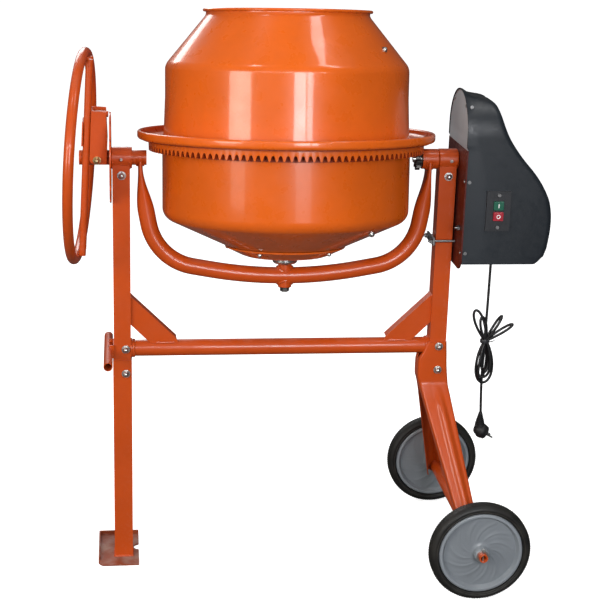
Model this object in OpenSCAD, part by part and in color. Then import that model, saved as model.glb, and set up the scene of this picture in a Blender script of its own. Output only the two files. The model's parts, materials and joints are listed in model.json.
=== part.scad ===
// Upright tilting-drum concrete mixer with a handwheel, a side motor unit and two transport wheels.
// Drawn about the point on the ground under the drum, then shifted so that the origin is under the
// left leg. +X is the motor side, -Y is the operator's side.

/* [Overall] */
// Height of the tilting axis above the ground
trunnion_z = 1000; // [980:5:1040]
// Backward lean of the drum at rest, in degrees
drum_lean = 6.7; // [5:0.1:8]
// Distance from the middle to the centre of each upright
upright_x = 380; // [380:1:384]

/* [Frame] */
// Outside width of the square upright tube
leg_w = 40; // [38:1:40]
// Wall of the frame tubes
leg_wall = 2.5; // [2:0.25:4]
// Height of the crossbar's centre
crossbar_z = 540; // [530:5:550]
// Diameter of the round crossbar
crossbar_d = 39; // [34:1:42]
// Width of the corner braces
brace_w = 50; // [40:1:56]

/* [Wheels] */
// Radius of the tyre
wheel_r = 121; // [119:1:123]
// Width of the tyre
tyre_w = 38; // [34:1:40]
// Distance from the middle to the outer face of each tyre
wheel_y = 294; // [288:1:300]
// Distance of the axle to the right of the drum
axle_x = 450; // [440:1:460]
// Diameter of the axle
axle_d = 20; // [18:1:22]

/* [Drum] */
// Outside radius of the lower drum
drum_r = 286; // [284:0.5:288]
// Radius of the rolled flange
flange_r = 343; // [338:1:345]
// Radius of the mouth at its lip
mouth_r = 193; // [188:1:197]
// Thickness of the drum sheet
sheet_t = 2.5; // [2:0.25:3]

/* [Gears] */
// Teeth on the ring gear
ring_teeth = 126; // [126]
// Teeth on the pinion
pinion_teeth = 9; // [9]
// Mean radius of the ring gear's teeth
ring_r = 310; // [309:0.5:311]
// Slope of the tooth flanks, in degrees
flank_angle = 30; // [28:1:30]
// Free play between the teeth
backlash = 1.4; // [1.2:0.1:1.6]

/* [Yoke] */
// Diameter of the bent yoke tube
yoke_d = 39; // [34:1:40]
// Drop of the yoke's lowest point below the tilting axis
yoke_drop = 275; // [274:0.5:277]

/* [Handwheel] */
// Radius of the handwheel rim
handwheel_r = 235; // [220:1:245]
// Diameter of the handwheel rim tube
rim_d = 23; // [20:1:25]
// Lean of the handwheel on its pivot bolt, in degrees
handwheel_lean = 2.8; // [2.6:0.1:3]
// Radius of the notched lock disc
lock_r = 103.5; // [103:0.5:104]

/* [Motor unit] */
// Half the width of the motor cover
cover_half_w = 97; // [96:1:99]
// Height of the motor's centre
motor_z = 865; // [862:1:868]
// Radius of the large pulley
pulley_r = 84; // [80:1:86]
// Radius of the motor pulley
motor_pulley_r = 14; // [13:0.5:15]

/* [Hidden] */
$fn = 64;
weld_gap = 0.1;          // joint line left between welded pieces
run_gap = 0.05;          // radial clearance of a running fit
fixed_gap = 0.02;        // radial clearance of a fixed fit
bolt_r = 5;
paint = [0.85, 0.33, 0.1];
steel = [0.75, 0.75, 0.74];
black = [0.16, 0.17, 0.18];

// Frame
half_leg = leg_w / 2;
leg_inner_x = upright_x - half_leg;
leg_outer_x = upright_x + half_leg;
upright_base_z = 462;
stand_w = leg_w + 4.4;
stand_top_z = crossbar_z - 24;
foot_t = 4;
housing_r = 24.5;
housing_bore_r = 21;
bush_r = 17 + run_gap;
left_housing = [-402, -355];
right_housing = [358, leg_outer_x + 4.4];
bolt_z = [962, 543, 483];
left_bolt_x = [-379, -372, -372];
right_bolt_x = [382, 382, 382];

// Transport wheels
hub_y = wheel_y - tyre_w / 2;
disc_r = 100;
fork_foot_y = hub_y - 37;
fork_foot_r = 21;
fork_t = 3;
leg_top = [-half_leg - 3.6, 446];
leg_foot = [-fork_foot_y - 2.6, wheel_r - 16];
leg_splay = atan((leg_top.x - leg_foot.x) / (leg_top.y - leg_foot.y));
leg_len = norm(leg_top - leg_foot);

// Gears: the ring gear is a crown gear and its teeth point down onto the pinion
pitch = 2 * PI * ring_r / ring_teeth;
pinion_pitch_r = pitch * pinion_teeth / (2 * PI);
addendum = 4.4;
tooth_tip_z = pinion_pitch_r - addendum;
tooth_root_z = pinion_pitch_r + 5.9;
gear_face = [303, 317];
pinion_face = [304, 315];
gear_top_z = 41;

// Trunnions
shaft_r = 17;
sleeve_r = 23.5;
spigot_r = 20;
sleeve_x = [319, 357];
spigot_end_x = 413;
bearing_bore_r = 17.5;
pinion_shaft_r = 8.5;

// Yoke path in the tilting frame: a shallow bow, a bend and a straight arm
bow_r = 1013;
bow_end = 9.95;
arm_angle = 79.2;
bend_r = 125;
pinch_z = -112;
strap_x = 336.5;
strap_t = 11;
bow_tip = [bow_r * sin(bow_end), -yoke_drop + bow_r * (1 - cos(bow_end))];
bow_run = 42;
bend_start = bow_tip + bow_run * [cos(bow_end), sin(bow_end)];
bend_centre = bend_start + bend_r * [-sin(bow_end), cos(bow_end)];
bend_stop = bend_centre + bend_r * [sin(arm_angle), -cos(arm_angle)];
arm_len = (pinch_z - bend_stop.y) / sin(arm_angle);
arm_tip = bend_stop + arm_len * [cos(arm_angle), sin(arm_angle)];

// Drum outline in the tilting frame
cone_angle = 25.2;
knee_r = 30;
knee_z = -115;
knee_start = [drum_r - knee_r + knee_r * sin(cone_angle), knee_z - knee_r * cos(cone_angle)];
floor_z = -221;
floor_r = 96;
cone_low = [floor_r + 14, floor_z + 5.2];
cone_slope = (knee_start.y - cone_low.y) / (knee_start.x - cone_low.x);
function cone_z(r) = cone_low.y + cone_slope * (r - cone_low.x);
shoulder_r = 32;
shoulder_turn = 37.5;
shoulder_centre = [drum_r - 38.5, 199.5];
neck_r = mouth_r - 6;
mouth_z = 337;
lip_top_z = 63;
pivot_r = 7.5;
pivot_sleeve_r = 16;
pivot_bore_r = 13;
pivot_low_z = -302;
pivot_top_z = -248;
pivot_flange_z = [-246, -226];

// Handwheel
pivot_x = -434;
wheel_plane_x = -472;
ring_yaw = 4.9;           // the rim is welded on slightly askew
spoke_x = -459;
spoke_y = 27;
spoke_r = 8;
spoke_short = 8;
hub_wall_y = 33;
lock_x = [-406, -402];
notch_step = 30;
notch_w = 13;
notch_depth = 14;
tooth_under = lock_r - 9;

// Motor unit
plate_x = leg_outer_x + 4.5;
plate_t = 3;
cover_t = 3;
cover_x = plate_x + plate_t + 0.1;
cover_top_z = 1070;
cover_floor_z = 769;
plate_top_z = 1038;
plate_low_z = 752;
pulley_x = 426;
pulley_w = 18;
switch_pos = [485, 898];
switch_size = [57, 94];
start_pos = [485, 911];
stop_pos = [485, 886];
button_travel = 3;
screw_z = [1135, 965, 796];
clamp_z = 808;
clamp_y = 27;
switch_screw = 38;

// Cord
cord_r = 4;
cord_x = 490;
cord_y = -50;
tie_z = 575;
plug_pos = [494, -50, 335];

// ---- helpers ----
module placed() { translate([upright_x, 0, 0]) children(); }
module along_x() { rotate([0, 90, 0]) children(); }
module along_y() { rotate([-90, 0, 0]) children(); }
module rod_x(r, x0, x1) { translate([x0, 0, 0]) along_x() cylinder(r = r, h = x1 - x0); }
module rod_y(r, y0, y1) { translate([0, y0, 0]) along_y() cylinder(r = r, h = y1 - y0); }
module hex_y(af, y0, y1) { translate([0, y0, 0]) along_y() cylinder(d = af / cos(30), h = y1 - y0, $fn = 6); }
module hex_x(af, x0, x1) { translate([x0, 0, 0]) along_x() cylinder(d = af / cos(30), h = x1 - x0, $fn = 6); }
module slab(a, b) { translate(a) cube(b - a); }
module tilting() { translate([0, 0, trunnion_z]) rotate([-drum_lean, 0, 0]) children(); }
module on_axis() { translate([0, 0, trunnion_z]) children(); }
module leaning() {
    translate([pivot_x, 0, trunnion_z]) rotate([0, handwheel_lean, 0]) translate([-pivot_x, 0, 0]) children();
}
module both_y() { children(); mirror([0, 1, 0]) children(); }
module in_xz(y0, y1) { translate([0, y1, 0]) rotate([90, 0, 0]) linear_extrude(y1 - y0) children(); }
module in_yz(x0, x1) { translate([x0, 0, 0]) rotate([90, 0, 90]) linear_extrude(x1 - x0) children(); }

function arc(c, r, a0, a1, n = 8) =
    [for (i = [0:n]) let (a = a0 + (a1 - a0) * i / n) c + r * [cos(a), sin(a)]];
function unit(v) = v / norm(v);
function along(p, i) = unit(p[min(i + 1, len(p) - 1)] - p[max(i - 1, 0)]);
function inward(p, i) = [-along(p, i).y, along(p, i).x];
// A closed outline with wall t on the left of an open path p
function wall(p, t) = concat(p, [for (i = [len(p) - 1:-1:0]) p[i] + t * inward(p, i)]);
// Faces of a tube of k sections with m points each
function sweep_faces(k, m) = concat([[for (j = [0:m - 1]) j]], [[for (j = [m - 1:-1:0]) (k - 1) * m + j]],
    [for (i = [0:k - 2], j = [0:m - 1]) let (b = (j + 1) % m) each
        [[i * m + b, i * m + j, i * m + m + j], [i * m + b, i * m + m + j, i * m + m + b]]]);

// Zinc bolt through the frame along Y, with a domed nut in front and a hex head behind
module frame_bolt(x, z, y) {
    translate([x, 0, z]) {
        rod_y(bolt_r, -y, y);
        rod_y(10, -y - 1.6, -y);
        hex_y(15, -y - 6, -y - 1.6);
        translate([0, -y - 6, 0]) intersection() {
            sphere(r = 6.8, $fn = 32);
            rod_y(7, -7, 0);
        }
        rod_y(10, y, y + 1.6);
        hex_y(15, y + 1.6, y + 8);
    }
}

// ---- frame ----
module upright(side, bolt_x) {
    x = side * upright_x;
    difference() {
        slab([x - half_leg, -half_leg, upright_base_z], [x + half_leg, half_leg, trunnion_z]);
        slab([x - half_leg + leg_wall, -half_leg + leg_wall, upright_base_z - 1],
             [x + half_leg - leg_wall, half_leg - leg_wall, trunnion_z + 1]);
        on_axis() rod_x(housing_r + weld_gap, -500, 500);
        for (i = [0:2]) translate([bolt_x[i], 0, bolt_z[i]]) rod_y(bolt_r + 0.1, -50, 50);
    }
}
module left_upright() { color(paint) upright(-1, left_bolt_x); }
module right_upright() { color(paint) upright(1, right_bolt_x); }

module crossbar() {
    color(paint) translate([0, 0, crossbar_z]) difference() {
        union() {
            rod_x(crossbar_d / 2, -leg_inner_x, leg_inner_x);
            rod_x(crossbar_d / 2 + 2.5, -leg_inner_x, -leg_inner_x + 6);
            rod_x(crossbar_d / 2 + 2.5, leg_inner_x - 6, leg_inner_x);
        }
        rod_x(crossbar_d / 2 - leg_wall, -leg_inner_x - 1, leg_inner_x + 1);
    }
}

module corner_brace() {
    top_z = 672;
    foot_x = 252;
    foot_h = 11;
    low_z = top_z - brace_w / cos(45) ;
    base_z = crossbar_z + 16;
    color(paint) difference() {
        union() {
            in_xz(-13, -9) polygon([[leg_inner_x, top_z], [leg_inner_x, low_z],
                [leg_inner_x - (low_z - base_z), base_z], [foot_x - 4, base_z], [foot_x, base_z + foot_h]]);
            in_xz(-9, 16) polygon([[leg_inner_x, top_z], [leg_inner_x, top_z - 5.6],
                [foot_x + 4, base_z + foot_h - 1.5], [foot_x, base_z + foot_h]]);
        }
        translate([0, 0, crossbar_z]) rod_x(crossbar_d / 2 + weld_gap, 0, 500);
        translate([0, 0, crossbar_z]) rod_x(crossbar_d / 2 + 2.7, leg_inner_x - 6.2, 500);
    }
}
module corner_braces() { corner_brace(); mirror([1, 0, 0]) corner_brace(); }

module stand_leg() {
    x = -upright_x;
    w = stand_w / 2;
    color(paint) difference() {
        slab([x - w, -w, foot_t], [x + w, w, stand_top_z]);
        slab([x - w + 2, -w + 2, foot_t - 1], [x + w - 2, w - 2, stand_top_z + 1]);
        translate([left_bolt_x[2], 0, bolt_z[2]]) rod_y(bolt_r + 0.1, -50, 50);
    }
}

module foot_plate() {
    left = -442;
    right = -343;
    front = -66;
    back = 108;
    corner = 18;
    edge_h = 12;
    color(paint) union() {
        difference() {
            linear_extrude(foot_t) difference() {
                polygon(concat([[right, front], [right, back], [left, back]],
                    arc([left + corner, front + corner], corner, 180, 270)));
                translate([right + 3, 29]) circle(r = 16);
            }
        }
        slab([left, front + corner + 8, foot_t], [left + foot_t, back, edge_h]);
        slab([left + foot_t, back - foot_t, foot_t], [right, back, edge_h]);
    }
}

module tow_handle() {
    handle_r = 10.5;
    z = crossbar_z - 2;
    x = -leg_outer_x - 2.5 - handle_r;
    color(paint) {
        translate([x, 0, z]) difference() {
            rod_y(handle_r, -130, 100);
            rod_y(handle_r - 1.8, -131, 101);
        }
        difference() {
            slab([x + 2, -26, z - 15], [-leg_outer_x, -22, z + 17]);
            translate([x, 0, z]) rod_y(handle_r + weld_gap, -131, 101);
        }
        difference() {
            slab([x + 2, 22, z - 15], [-leg_outer_x, 26, z + 17]);
            translate([x, 0, z]) rod_y(handle_r + weld_gap, -131, 101);
        }
        slab([-leg_outer_x - 2.4, -21.9, z - 15], [-leg_outer_x, 21.9, z + 17]);
    }
}

// One splayed leg of the pressed fork: a tapered face with a raised ridge and two folded edges
function leg_strip(x0, w0, x1, w1) = [[x0, 3], [x0 + w0, 3], [x1 + w1, -leg_len], [x1, -leg_len]];
module fork_leg() {
    translate([0, leg_top.x, leg_top.y]) rotate([90 - leg_splay, 0, 0]) {
        translate([0, 0, -3]) linear_extrude(3) polygon(leg_strip(341, 70, 430, 40));
        translate([0, 0, -20]) linear_extrude(18) polygon(leg_strip(341, 3, 430, 3));
        translate([0, 0, -20]) linear_extrude(18) polygon(leg_strip(408, 3, 467, 3));
        translate([0, 0, -1]) linear_extrude(6) polygon(leg_strip(369, 15, 442, 15));
        translate([0, 0, -1]) linear_extrude(9) polygon(leg_strip(372, 9, 445, 9));
    }
}
module fork_half() {
    fork_leg();
    in_xz(-half_leg - 3.6, -half_leg - 0.6) polygon([[354, 554], [402, 554], [405, 505],
        [411, 445.9], [341, 445.9], [334, 458], [334, 504], [343, 524]]);
    translate([axle_x, 0, wheel_r]) rod_y(fork_foot_r, -fork_foot_y - 3, -fork_foot_y + 2);
}
module wheel_fork() {
    color(paint) difference() {
        union() {
            both_y() fork_half();
            slab([334, -20.6, 458], [337, 20.6, 504]);
        }
        translate([axle_x, 0, wheel_r]) rod_y(axle_d / 2 + 4.1, -fork_foot_y - 50, fork_foot_y + 50);
        for (i = [1, 2]) translate([right_bolt_x[i], 0, bolt_z[i]]) rod_y(bolt_r + 0.1, -50, 50);
        translate([0, 0, crossbar_z]) rod_x(crossbar_d / 2 + 2.7, 300, leg_inner_x + 0.2);
    }
}

// ---- axle and wheels ----
module axle() {
    color(paint) translate([axle_x, 0, wheel_r]) difference() {
        union() {
            rod_y(axle_d / 2, -hub_y - 44, hub_y + 44);
            rod_y(axle_d / 2 + 4, -fork_foot_y - 3, fork_foot_y + 3);
        }
        rod_y(axle_d / 2 - 2.5, -hub_y - 45, hub_y + 45);
        both_y() translate([0, -hub_y - 36, 0]) cylinder(r = 2.1, h = 40, center = true);
    }
}
module washer_y(y0, y1, r) { difference() { rod_y(r, y0, y1); rod_y(axle_d / 2 + 0.3, y0 - 1, y1 + 1); } }
module axle_washers() {
    color(steel) translate([axle_x, 0, wheel_r]) both_y() {
        washer_y(-hub_y + 26.2, -hub_y + 28.6, 17);
        washer_y(-hub_y - 32.6, -hub_y - 30.2, 15);
    }
}
module cotter_pins() {
    color(steel) translate([axle_x, 0, wheel_r]) both_y() translate([0, -hub_y - 36, 0]) {
        cylinder(r = 1.9, h = 32, center = true);
        translate([0, 0, 17.5]) along_y() rotate_extrude() translate([3.2, 0]) circle(r = 1.5, $fn = 16);
    }
}
// Wheel disc and tyre, turning about Y, drawn for the front wheel
module wheel_disc() {
    color([0.5, 0.52, 0.55]) along_y() difference() {
        rotate_extrude($fn = 96) polygon([[axle_d / 2 + run_gap, -30], [16, -30], [19, -12], [60, -6],
            [86, -9], [92, -17], [98, -17], [disc_r, -12], [disc_r, 12], [98, 17], [92, 17], [86, 9],
            [60, 6], [19, 12], [16, 26], [axle_d / 2 + run_gap, 26]]);
        for (a = [0:30:330]) rotate([0, 0, a]) translate([42, 0, -14]) rotate([0, 0, 35])
            translate([-14, -2, 0]) cube([28, 4, 5.5]);
    }
}
module tyre() {
    w = tyre_w / 2;
    color([0.13, 0.12, 0.12]) along_y() difference() {
        rotate_extrude($fn = 96) polygon([[disc_r, -12.4], [disc_r + 1.5, -w + 1], [disc_r + 4, -w],
            [wheel_r - 9, -w], [wheel_r - 3, -w + 3], [wheel_r, -w + 9],
            [wheel_r, w - 9], [wheel_r - 3, w - 3], [wheel_r - 9, w],
            [disc_r + 4, w], [disc_r + 1.5, w - 1], [disc_r, 12.4]]);
        rotate_extrude($fn = 96) for (y = [-9, -3, 3, 9]) translate([wheel_r - 2, y - 0.8]) square([3, 1.6]);
    }
}
module at_front_wheel() { translate([axle_x, -hub_y, wheel_r]) children(); }
module at_rear_wheel() { translate([axle_x, hub_y, wheel_r]) mirror([0, 1, 0]) children(); }
module front_wheel_disc() { at_front_wheel() wheel_disc(); }
module front_tyre() { at_front_wheel() tyre(); }
module rear_wheel_disc() { at_rear_wheel() wheel_disc(); }
module rear_tyre() { at_rear_wheel() tyre(); }

// ---- trunnion bearings ----
module housing(x, round_end) {
    on_axis() rotate([0, 90, 0]) rotate_extrude() polygon(concat(
        [[housing_bore_r, x[0]], [housing_r - 1.5, x[0]], [housing_r, x[0] + 1.5]],
        arc([housing_r - round_end, x[1] - round_end], round_end, 0, 90, 5), [[housing_bore_r, x[1]]]));
}
module left_bearing_housing() {
    color(paint) difference() {
        housing(left_housing, 1.5);
        translate([-upright_x, 0, trunnion_z]) rod_y(2.6, -40, 0);
    }
}
module right_bearing_housing() {
    color(paint) difference() {
        housing(right_housing, 3.2);
        translate([upright_x + 6, 0, trunnion_z]) rod_y(2.6, -40, 0);
    }
}
module trunnion_bushes() {
    color("khaki") on_axis() {
        difference() {
            rod_x(housing_bore_r - fixed_gap, left_housing[0] + 2, left_housing[1] - 2);
            rod_x(bush_r, -500, -300);
        }
        difference() {
            rod_x(housing_bore_r - fixed_gap, right_housing[0] + 2, right_housing[1] - 2);
            rod_x(spigot_r + run_gap, 300, 500);
        }
    }
}
module frame_bolts() {
    left_y = [half_leg, half_leg, stand_w / 2];
    right_y = [half_leg, half_leg + fork_t + 0.6, half_leg + fork_t + 0.6];
    color(steel) for (i = [0:2]) {
        frame_bolt(left_bolt_x[i], bolt_z[i], left_y[i]);
        frame_bolt(right_bolt_x[i], bolt_z[i], right_y[i]);
    }
}
module grease_nipples() {
    color(steel) for (x = [-upright_x, upright_x + 6]) translate([x, -housing_r, trunnion_z]) {
        rod_y(2.5, -0.4, 2.6);
        hex_y(7, -3.6, -0.4);
        rod_y(2, -7, -3.6);
        translate([0, -8, 0]) sphere(r = 2.7, $fn = 24);
    }
}

// ---- tilt control ----
module lock_disc() {
    color(paint) on_axis() difference() {
        rod_x(lock_r, lock_x[0], lock_x[1]);
        rod_x(shaft_r + 1, -500, -300);
        for (a = [0:notch_step:330]) rotate([a, 0, 0])
            slab([lock_x[0] - 1, -notch_w / 2, lock_r - notch_depth],
                 [lock_x[1] + 1, notch_w / 2, lock_r + 5]);
    }
}
module tilt_shaft() {
    color(paint) on_axis() difference() {
        rod_x(shaft_r, -475, -322);
        rod_x(shaft_r - 4, -476, -321);
        translate([pivot_x, 0, 0]) rod_y(bolt_r + fixed_gap, -50, 50);
    }
}
module rim_torus(d) {
    translate([wheel_plane_x, 0, 0]) rotate([0, 0, -ring_yaw]) along_x()
        rotate_extrude($fn = 96) translate([handwheel_r, 0]) circle(d = d, $fn = 32);
}
module handwheel_ring() { color(paint) leaning() rim_torus(rim_d); }
module handwheel_spokes() {
    reach = sqrt(handwheel_r * handwheel_r - spoke_y * spoke_y) - spoke_short;
    color(paint) leaning() difference() {
        for (y = [-spoke_y, spoke_y]) translate([spoke_x, y, -reach]) cylinder(r = spoke_r, h = 2 * reach);
        rim_torus(rim_d + 2 * weld_gap);
    }
}
module handwheel_hub() {
    back_x = spoke_x + spoke_r;
    face_x = -412;
    top = 111;
    color(paint) leaning() {
        difference() {
            union() {
                both_y() in_xz(-hub_wall_y - 3, -hub_wall_y) polygon(concat([[face_x, -9], [face_x, 44],
                    [face_x - 6, top], [back_x, top]], arc([back_x + 12, -9 + 12], 12, 180, 270, 5)));
                slab([back_x, -hub_wall_y, 24], [back_x + 3, hub_wall_y, top]);
            }
            translate([pivot_x, 0, 0]) rod_y(bolt_r + run_gap, -60, 60);
        }
        difference() {
            slab([back_x + 3, -5, 88], [-412.6, 5, 107]);
            slab([-424, -6, 80], [-400, 6, tooth_under]);
        }
        in_yz(spoke_x - spoke_r - 3.3, spoke_x - spoke_r)
            polygon([[-36, 30], [36, 30], [36, 79], [30, 85], [-30, 85], [-36, 79]]);
    }
}
module hub_bolt() {
    y = hub_wall_y + 3;
    color([0.8, 0.76, 0.55]) translate([pivot_x, 0, trunnion_z]) {
        rod_y(bolt_r, -y - 0.3, y + 0.3);
        rod_y(9, -y - 1.8, -y - 0.2);
        hex_y(16, -y - 7, -y - 1.8);
        translate([0, -y - 7, 0]) intersection() {
            sphere(r = 6.8, $fn = 32);
            rod_y(7, -7, 0);
        }
        rod_y(9, y + 0.2, y + 1.8);
        hex_y(16, y + 1.8, y + 8);
    }
}
// Torsion spring that pushes the latch into the lock disc, wound on the hub bolt
module latch_spring() {
    turns = 4;
    coil_r = 7.5;
    wire_r = 1;
    steps = turns * 14;
    sides = 6;
    function coil(i) = let (a = 360 * turns * i / steps)
        [coil_r * cos(a), -31 + 12 * i / steps, coil_r * sin(a)];
    color(steel) translate([pivot_x, 0, trunnion_z]) polyhedron(
        [for (i = [0:steps], j = [0:sides - 1]) let (a = 360 * turns * i / steps, b = 360 * j / sides)
            coil(i) + wire_r * [cos(b) * cos(a), sin(b), cos(b) * sin(a)]],
        sweep_faces(steps + 1, sides));
}

// ---- yoke ----
// Stations along the right half of the tube: [x, z, direction, half thickness, half width]
function turn_at(c, r, a, h) = [c.x + r * sin(a), c.y - r * cos(a), a, h, h];
function pinch_at(t, h) = let (turn = min(1, 1.4 * t), flat = min(1, 1.3 * t)) [
    arm_tip.x + (strap_x - arm_tip.x) * turn, arm_tip.y - 14 + 118 * t, arm_angle + (90 - arm_angle) * turn,
    h + (strap_t / 2 - h) * flat, h + (24 - h) * flat];
function yoke_half(h, pinched) = concat(
    [for (i = [1:4]) turn_at([0, bow_r - yoke_drop], bow_r, bow_end * i / 4, h)],
    [for (i = [0:9]) turn_at(bend_centre, bend_r, bow_end + (arm_angle - bow_end) * i / 9, h)],
    pinched ? [for (i = [0:5]) pinch_at(i / 5, h)] : [turn_at(arm_tip - [0, 16], 0, arm_angle, h)]);
function yoke_path(h, pinched) = let (q = yoke_half(h, pinched)) concat(
    [for (i = [len(q) - 1:-1:0]) [-q[i][0], q[i][1], -q[i][2], q[i][3], q[i][4]]],
    [[0, -yoke_drop, 0, h, h]], q);
module yoke_sweep(h, sides, pinched) {
    path = yoke_path(h, pinched);
    polyhedron([for (p = path, j = [0:sides - 1]) let (b = 360 * j / sides)
        [p[0] - p[3] * cos(b) * sin(p[2]), -p[4] * sin(b), p[1] + p[3] * cos(b) * cos(p[2])]],
        sweep_faces(len(path), sides));
}
module yoke_tube() {
    color(paint) tilting() difference() {
        yoke_sweep(yoke_d / 2, 24, true);
        yoke_sweep(yoke_d / 2 - 3, 12, false);
        rod_x(shaft_r + weld_gap, -360, -300);
        rod_x(sleeve_r + weld_gap, 300, 370);
        translate([0, 0, -yoke_drop - 40]) cylinder(r = pivot_sleeve_r + weld_gap, h = 80);
    }
}
module pinion_sleeve() {
    color(paint) tilting() difference() {
        union() {
            rod_x(sleeve_r, sleeve_x[0], sleeve_x[1]);
            rod_x(spigot_r, sleeve_x[1], spigot_end_x);
        }
        rod_x(bearing_bore_r, sleeve_x[0] - 1, spigot_end_x + 1);
    }
}
module bearing_x(x, ri, ro, w) {
    translate([x, 0, 0]) {
        difference() { rod_x(ro, 0, w); rod_x(ro - 3.2, -1, w + 1); }
        difference() { rod_x(ri + 2.6, 0, w); rod_x(ri, -1, w + 1); }
        difference() { rod_x(ro - 3.4, w / 2 - 2, w / 2 + 2); rod_x(ri + 2.8, -1, w + 1); }
    }
}
module ball_bearings() {
    color(steel) tilting() {
        bearing_x(sleeve_x[0] + 2, pinion_shaft_r + run_gap, bearing_bore_r - fixed_gap, 10);
        bearing_x(spigot_end_x - 12, pinion_shaft_r + run_gap, bearing_bore_r - fixed_gap, 10);
        for (z = [pivot_low_z + 5, pivot_top_z - 14]) translate([0, 0, z]) rotate([0, -90, 0])
            bearing_x(0, pivot_r + run_gap, pivot_bore_r - fixed_gap, 9);
    }
}
module pinion_shaft() {
    color(steel) tilting() rod_x(pinion_shaft_r, 299, pulley_x + pulley_w + 6);
}
// Involute flanks on a base circle; a tooth is thinned by half of the backlash
function inv(a) = tan(a) * 180 / PI - a;
function tooth_half_angle(r) = 90 / pinion_teeth - backlash / 4 / pinion_pitch_r * 180 / PI
    + inv(flank_angle) - inv(acos(min(1, pinion_pitch_r * cos(flank_angle) / r)));
pinion_root_r = pinion_pitch_r - addendum - 0.9;
pinion_tip_r = pinion_pitch_r + addendum - 0.4;
pinion_base_r = max(pinion_pitch_r * cos(flank_angle), pinion_root_r + 0.6);
module pinion_gear() {
    radii = [pinion_root_r, pinion_base_r, pinion_pitch_r - 1, pinion_pitch_r + 1.4, pinion_tip_r];
    function flank(k, i, side) = let (r = radii[i],
        a = 360 * k / pinion_teeth + side * tooth_half_angle(max(r, pinion_base_r))) r * [cos(a), sin(a)];
    last = len(radii) - 1;
    outline = [for (k = [0:pinion_teeth - 1]) each concat([for (i = [0:last]) flank(k, i, -1)],
        [for (i = [last:-1:0]) flank(k, i, 1)])];
    color([0.3, 0.3, 0.31]) tilting() difference() {
        // a gap of the pinion faces up at rest, where a tooth of the ring gear enters it
        translate([pinion_face[0], 0, 0]) rotate([180 / pinion_teeth, 0, 0])
            rotate([0, 90, 0]) rotate([0, 0, 180])
            linear_extrude(pinion_face[1] - pinion_face[0]) polygon(outline);
        rod_x(pinion_shaft_r + fixed_gap, 290, 330);
    }
}

// ---- drum ----
lower_path = concat([[pivot_r + 12, floor_z], [floor_r, floor_z]],
    [cone_low], arc([drum_r - knee_r, knee_z], knee_r, cone_angle - 90, 0, 9), [[drum_r, gear_top_z]]);
upper_path = concat([[drum_r - sheet_t - 0.6, gear_top_z + 6], [drum_r - 6.5, shoulder_centre.y]],
    arc(shoulder_centre, shoulder_r, 0, shoulder_turn, 7), [[neck_r, mouth_z - 11], [neck_r, mouth_z - 3]]);
module revolve() { rotate_extrude($fn = 120) children(); }
module drum_lower() {
    color(paint) tilting() revolve() {
        polygon(wall(lower_path, sheet_t));
        translate([drum_r - sheet_t, gear_top_z]) square([flange_r - 8 - drum_r + sheet_t, 2.5]);
    }
}
module drum_upper() {
    z = gear_top_z + 2.6;
    color(paint) tilting() revolve() {
        polygon(wall(upper_path, sheet_t));
        polygon(concat([[drum_r - 2 * sheet_t - 0.6, z], [flange_r - 4, z], [flange_r, z + 4]],
            arc([flange_r - 4, lip_top_z - 4], 4, 0, 180, 6),
            [[flange_r - 9, z + 9], [flange_r - 14, z + 4.5], [drum_r - 2 * sheet_t - 0.6, z + 4.5]]));
    }
}
module mouth_ring() {
    color(paint) tilting() revolve() polygon(concat(
        [[neck_r - sheet_t, mouth_z - 2.9], [neck_r, mouth_z - 2.9]],
        arc([mouth_r - 1.6, mouth_z - 0.9], 1.6, -70, 110, 6), [[neck_r - sheet_t, mouth_z]]));
}
module ring_gear() {
    half_gap = pitch / 4 + backlash / 4;
    slope = tan(flank_angle);
    wide = half_gap + (addendum + 2) * slope;
    narrow = half_gap - (tooth_root_z - pinion_pitch_r) * slope;
    color(paint) tilting() difference() {
        revolve() polygon([[drum_r + 0.1, gear_top_z], [drum_r + 0.1, tooth_root_z + 2],
            [gear_face[0], tooth_root_z + 1], [gear_face[0], tooth_tip_z],
            [gear_face[1], tooth_tip_z], [gear_face[1], gear_top_z]]);
        for (i = [0:ring_teeth - 1]) rotate([0, 0, (i + 0.5) * 360 / ring_teeth])
            in_yz(gear_face[0] - 2, gear_face[1] + 4) polygon([
                [-wide, tooth_tip_z - 2], [wide, tooth_tip_z - 2],
                [narrow, tooth_root_z], [-narrow, tooth_root_z]]);
    }
}
module mixing_blades() {
    inner = concat([[0, floor_z + 3.2], [floor_r, floor_z + 3.2]],
        arc([drum_r - knee_r, knee_z], knee_r - 3.3, cone_angle - 90, 0, 9),
        [[drum_r - 7, 40], [drum_r - 10.2, shoulder_centre.y]],
        arc(shoulder_centre, shoulder_r - 4, 0, shoulder_turn, 7),
        [[neck_r - 4, mouth_z - 20], [0, mouth_z - 20]]);
    color(paint) tilting() intersection() {
        revolve() polygon(inner);
        for (a = [20, 200]) rotate([0, 0, a]) translate([172, 0, -190]) rotate([0, 0, 32]) rotate([0, 8, 0])
            in_xz(-1.5, 1.5) polygon([[16, 0], [150, 0], [150, 420], [60, 420], [6, 300]]);
    }
}
// Domed bolts that hold the blades to the drum, and the small bolts of the bottom plate
module dome_bolt(r) {
    cylinder(r = r, h = 1.6);
    translate([0, 0, 1.6]) intersection() {
        sphere(r = r * 0.78, $fn = 32);
        cylinder(r = r, h = r);
    }
}
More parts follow.
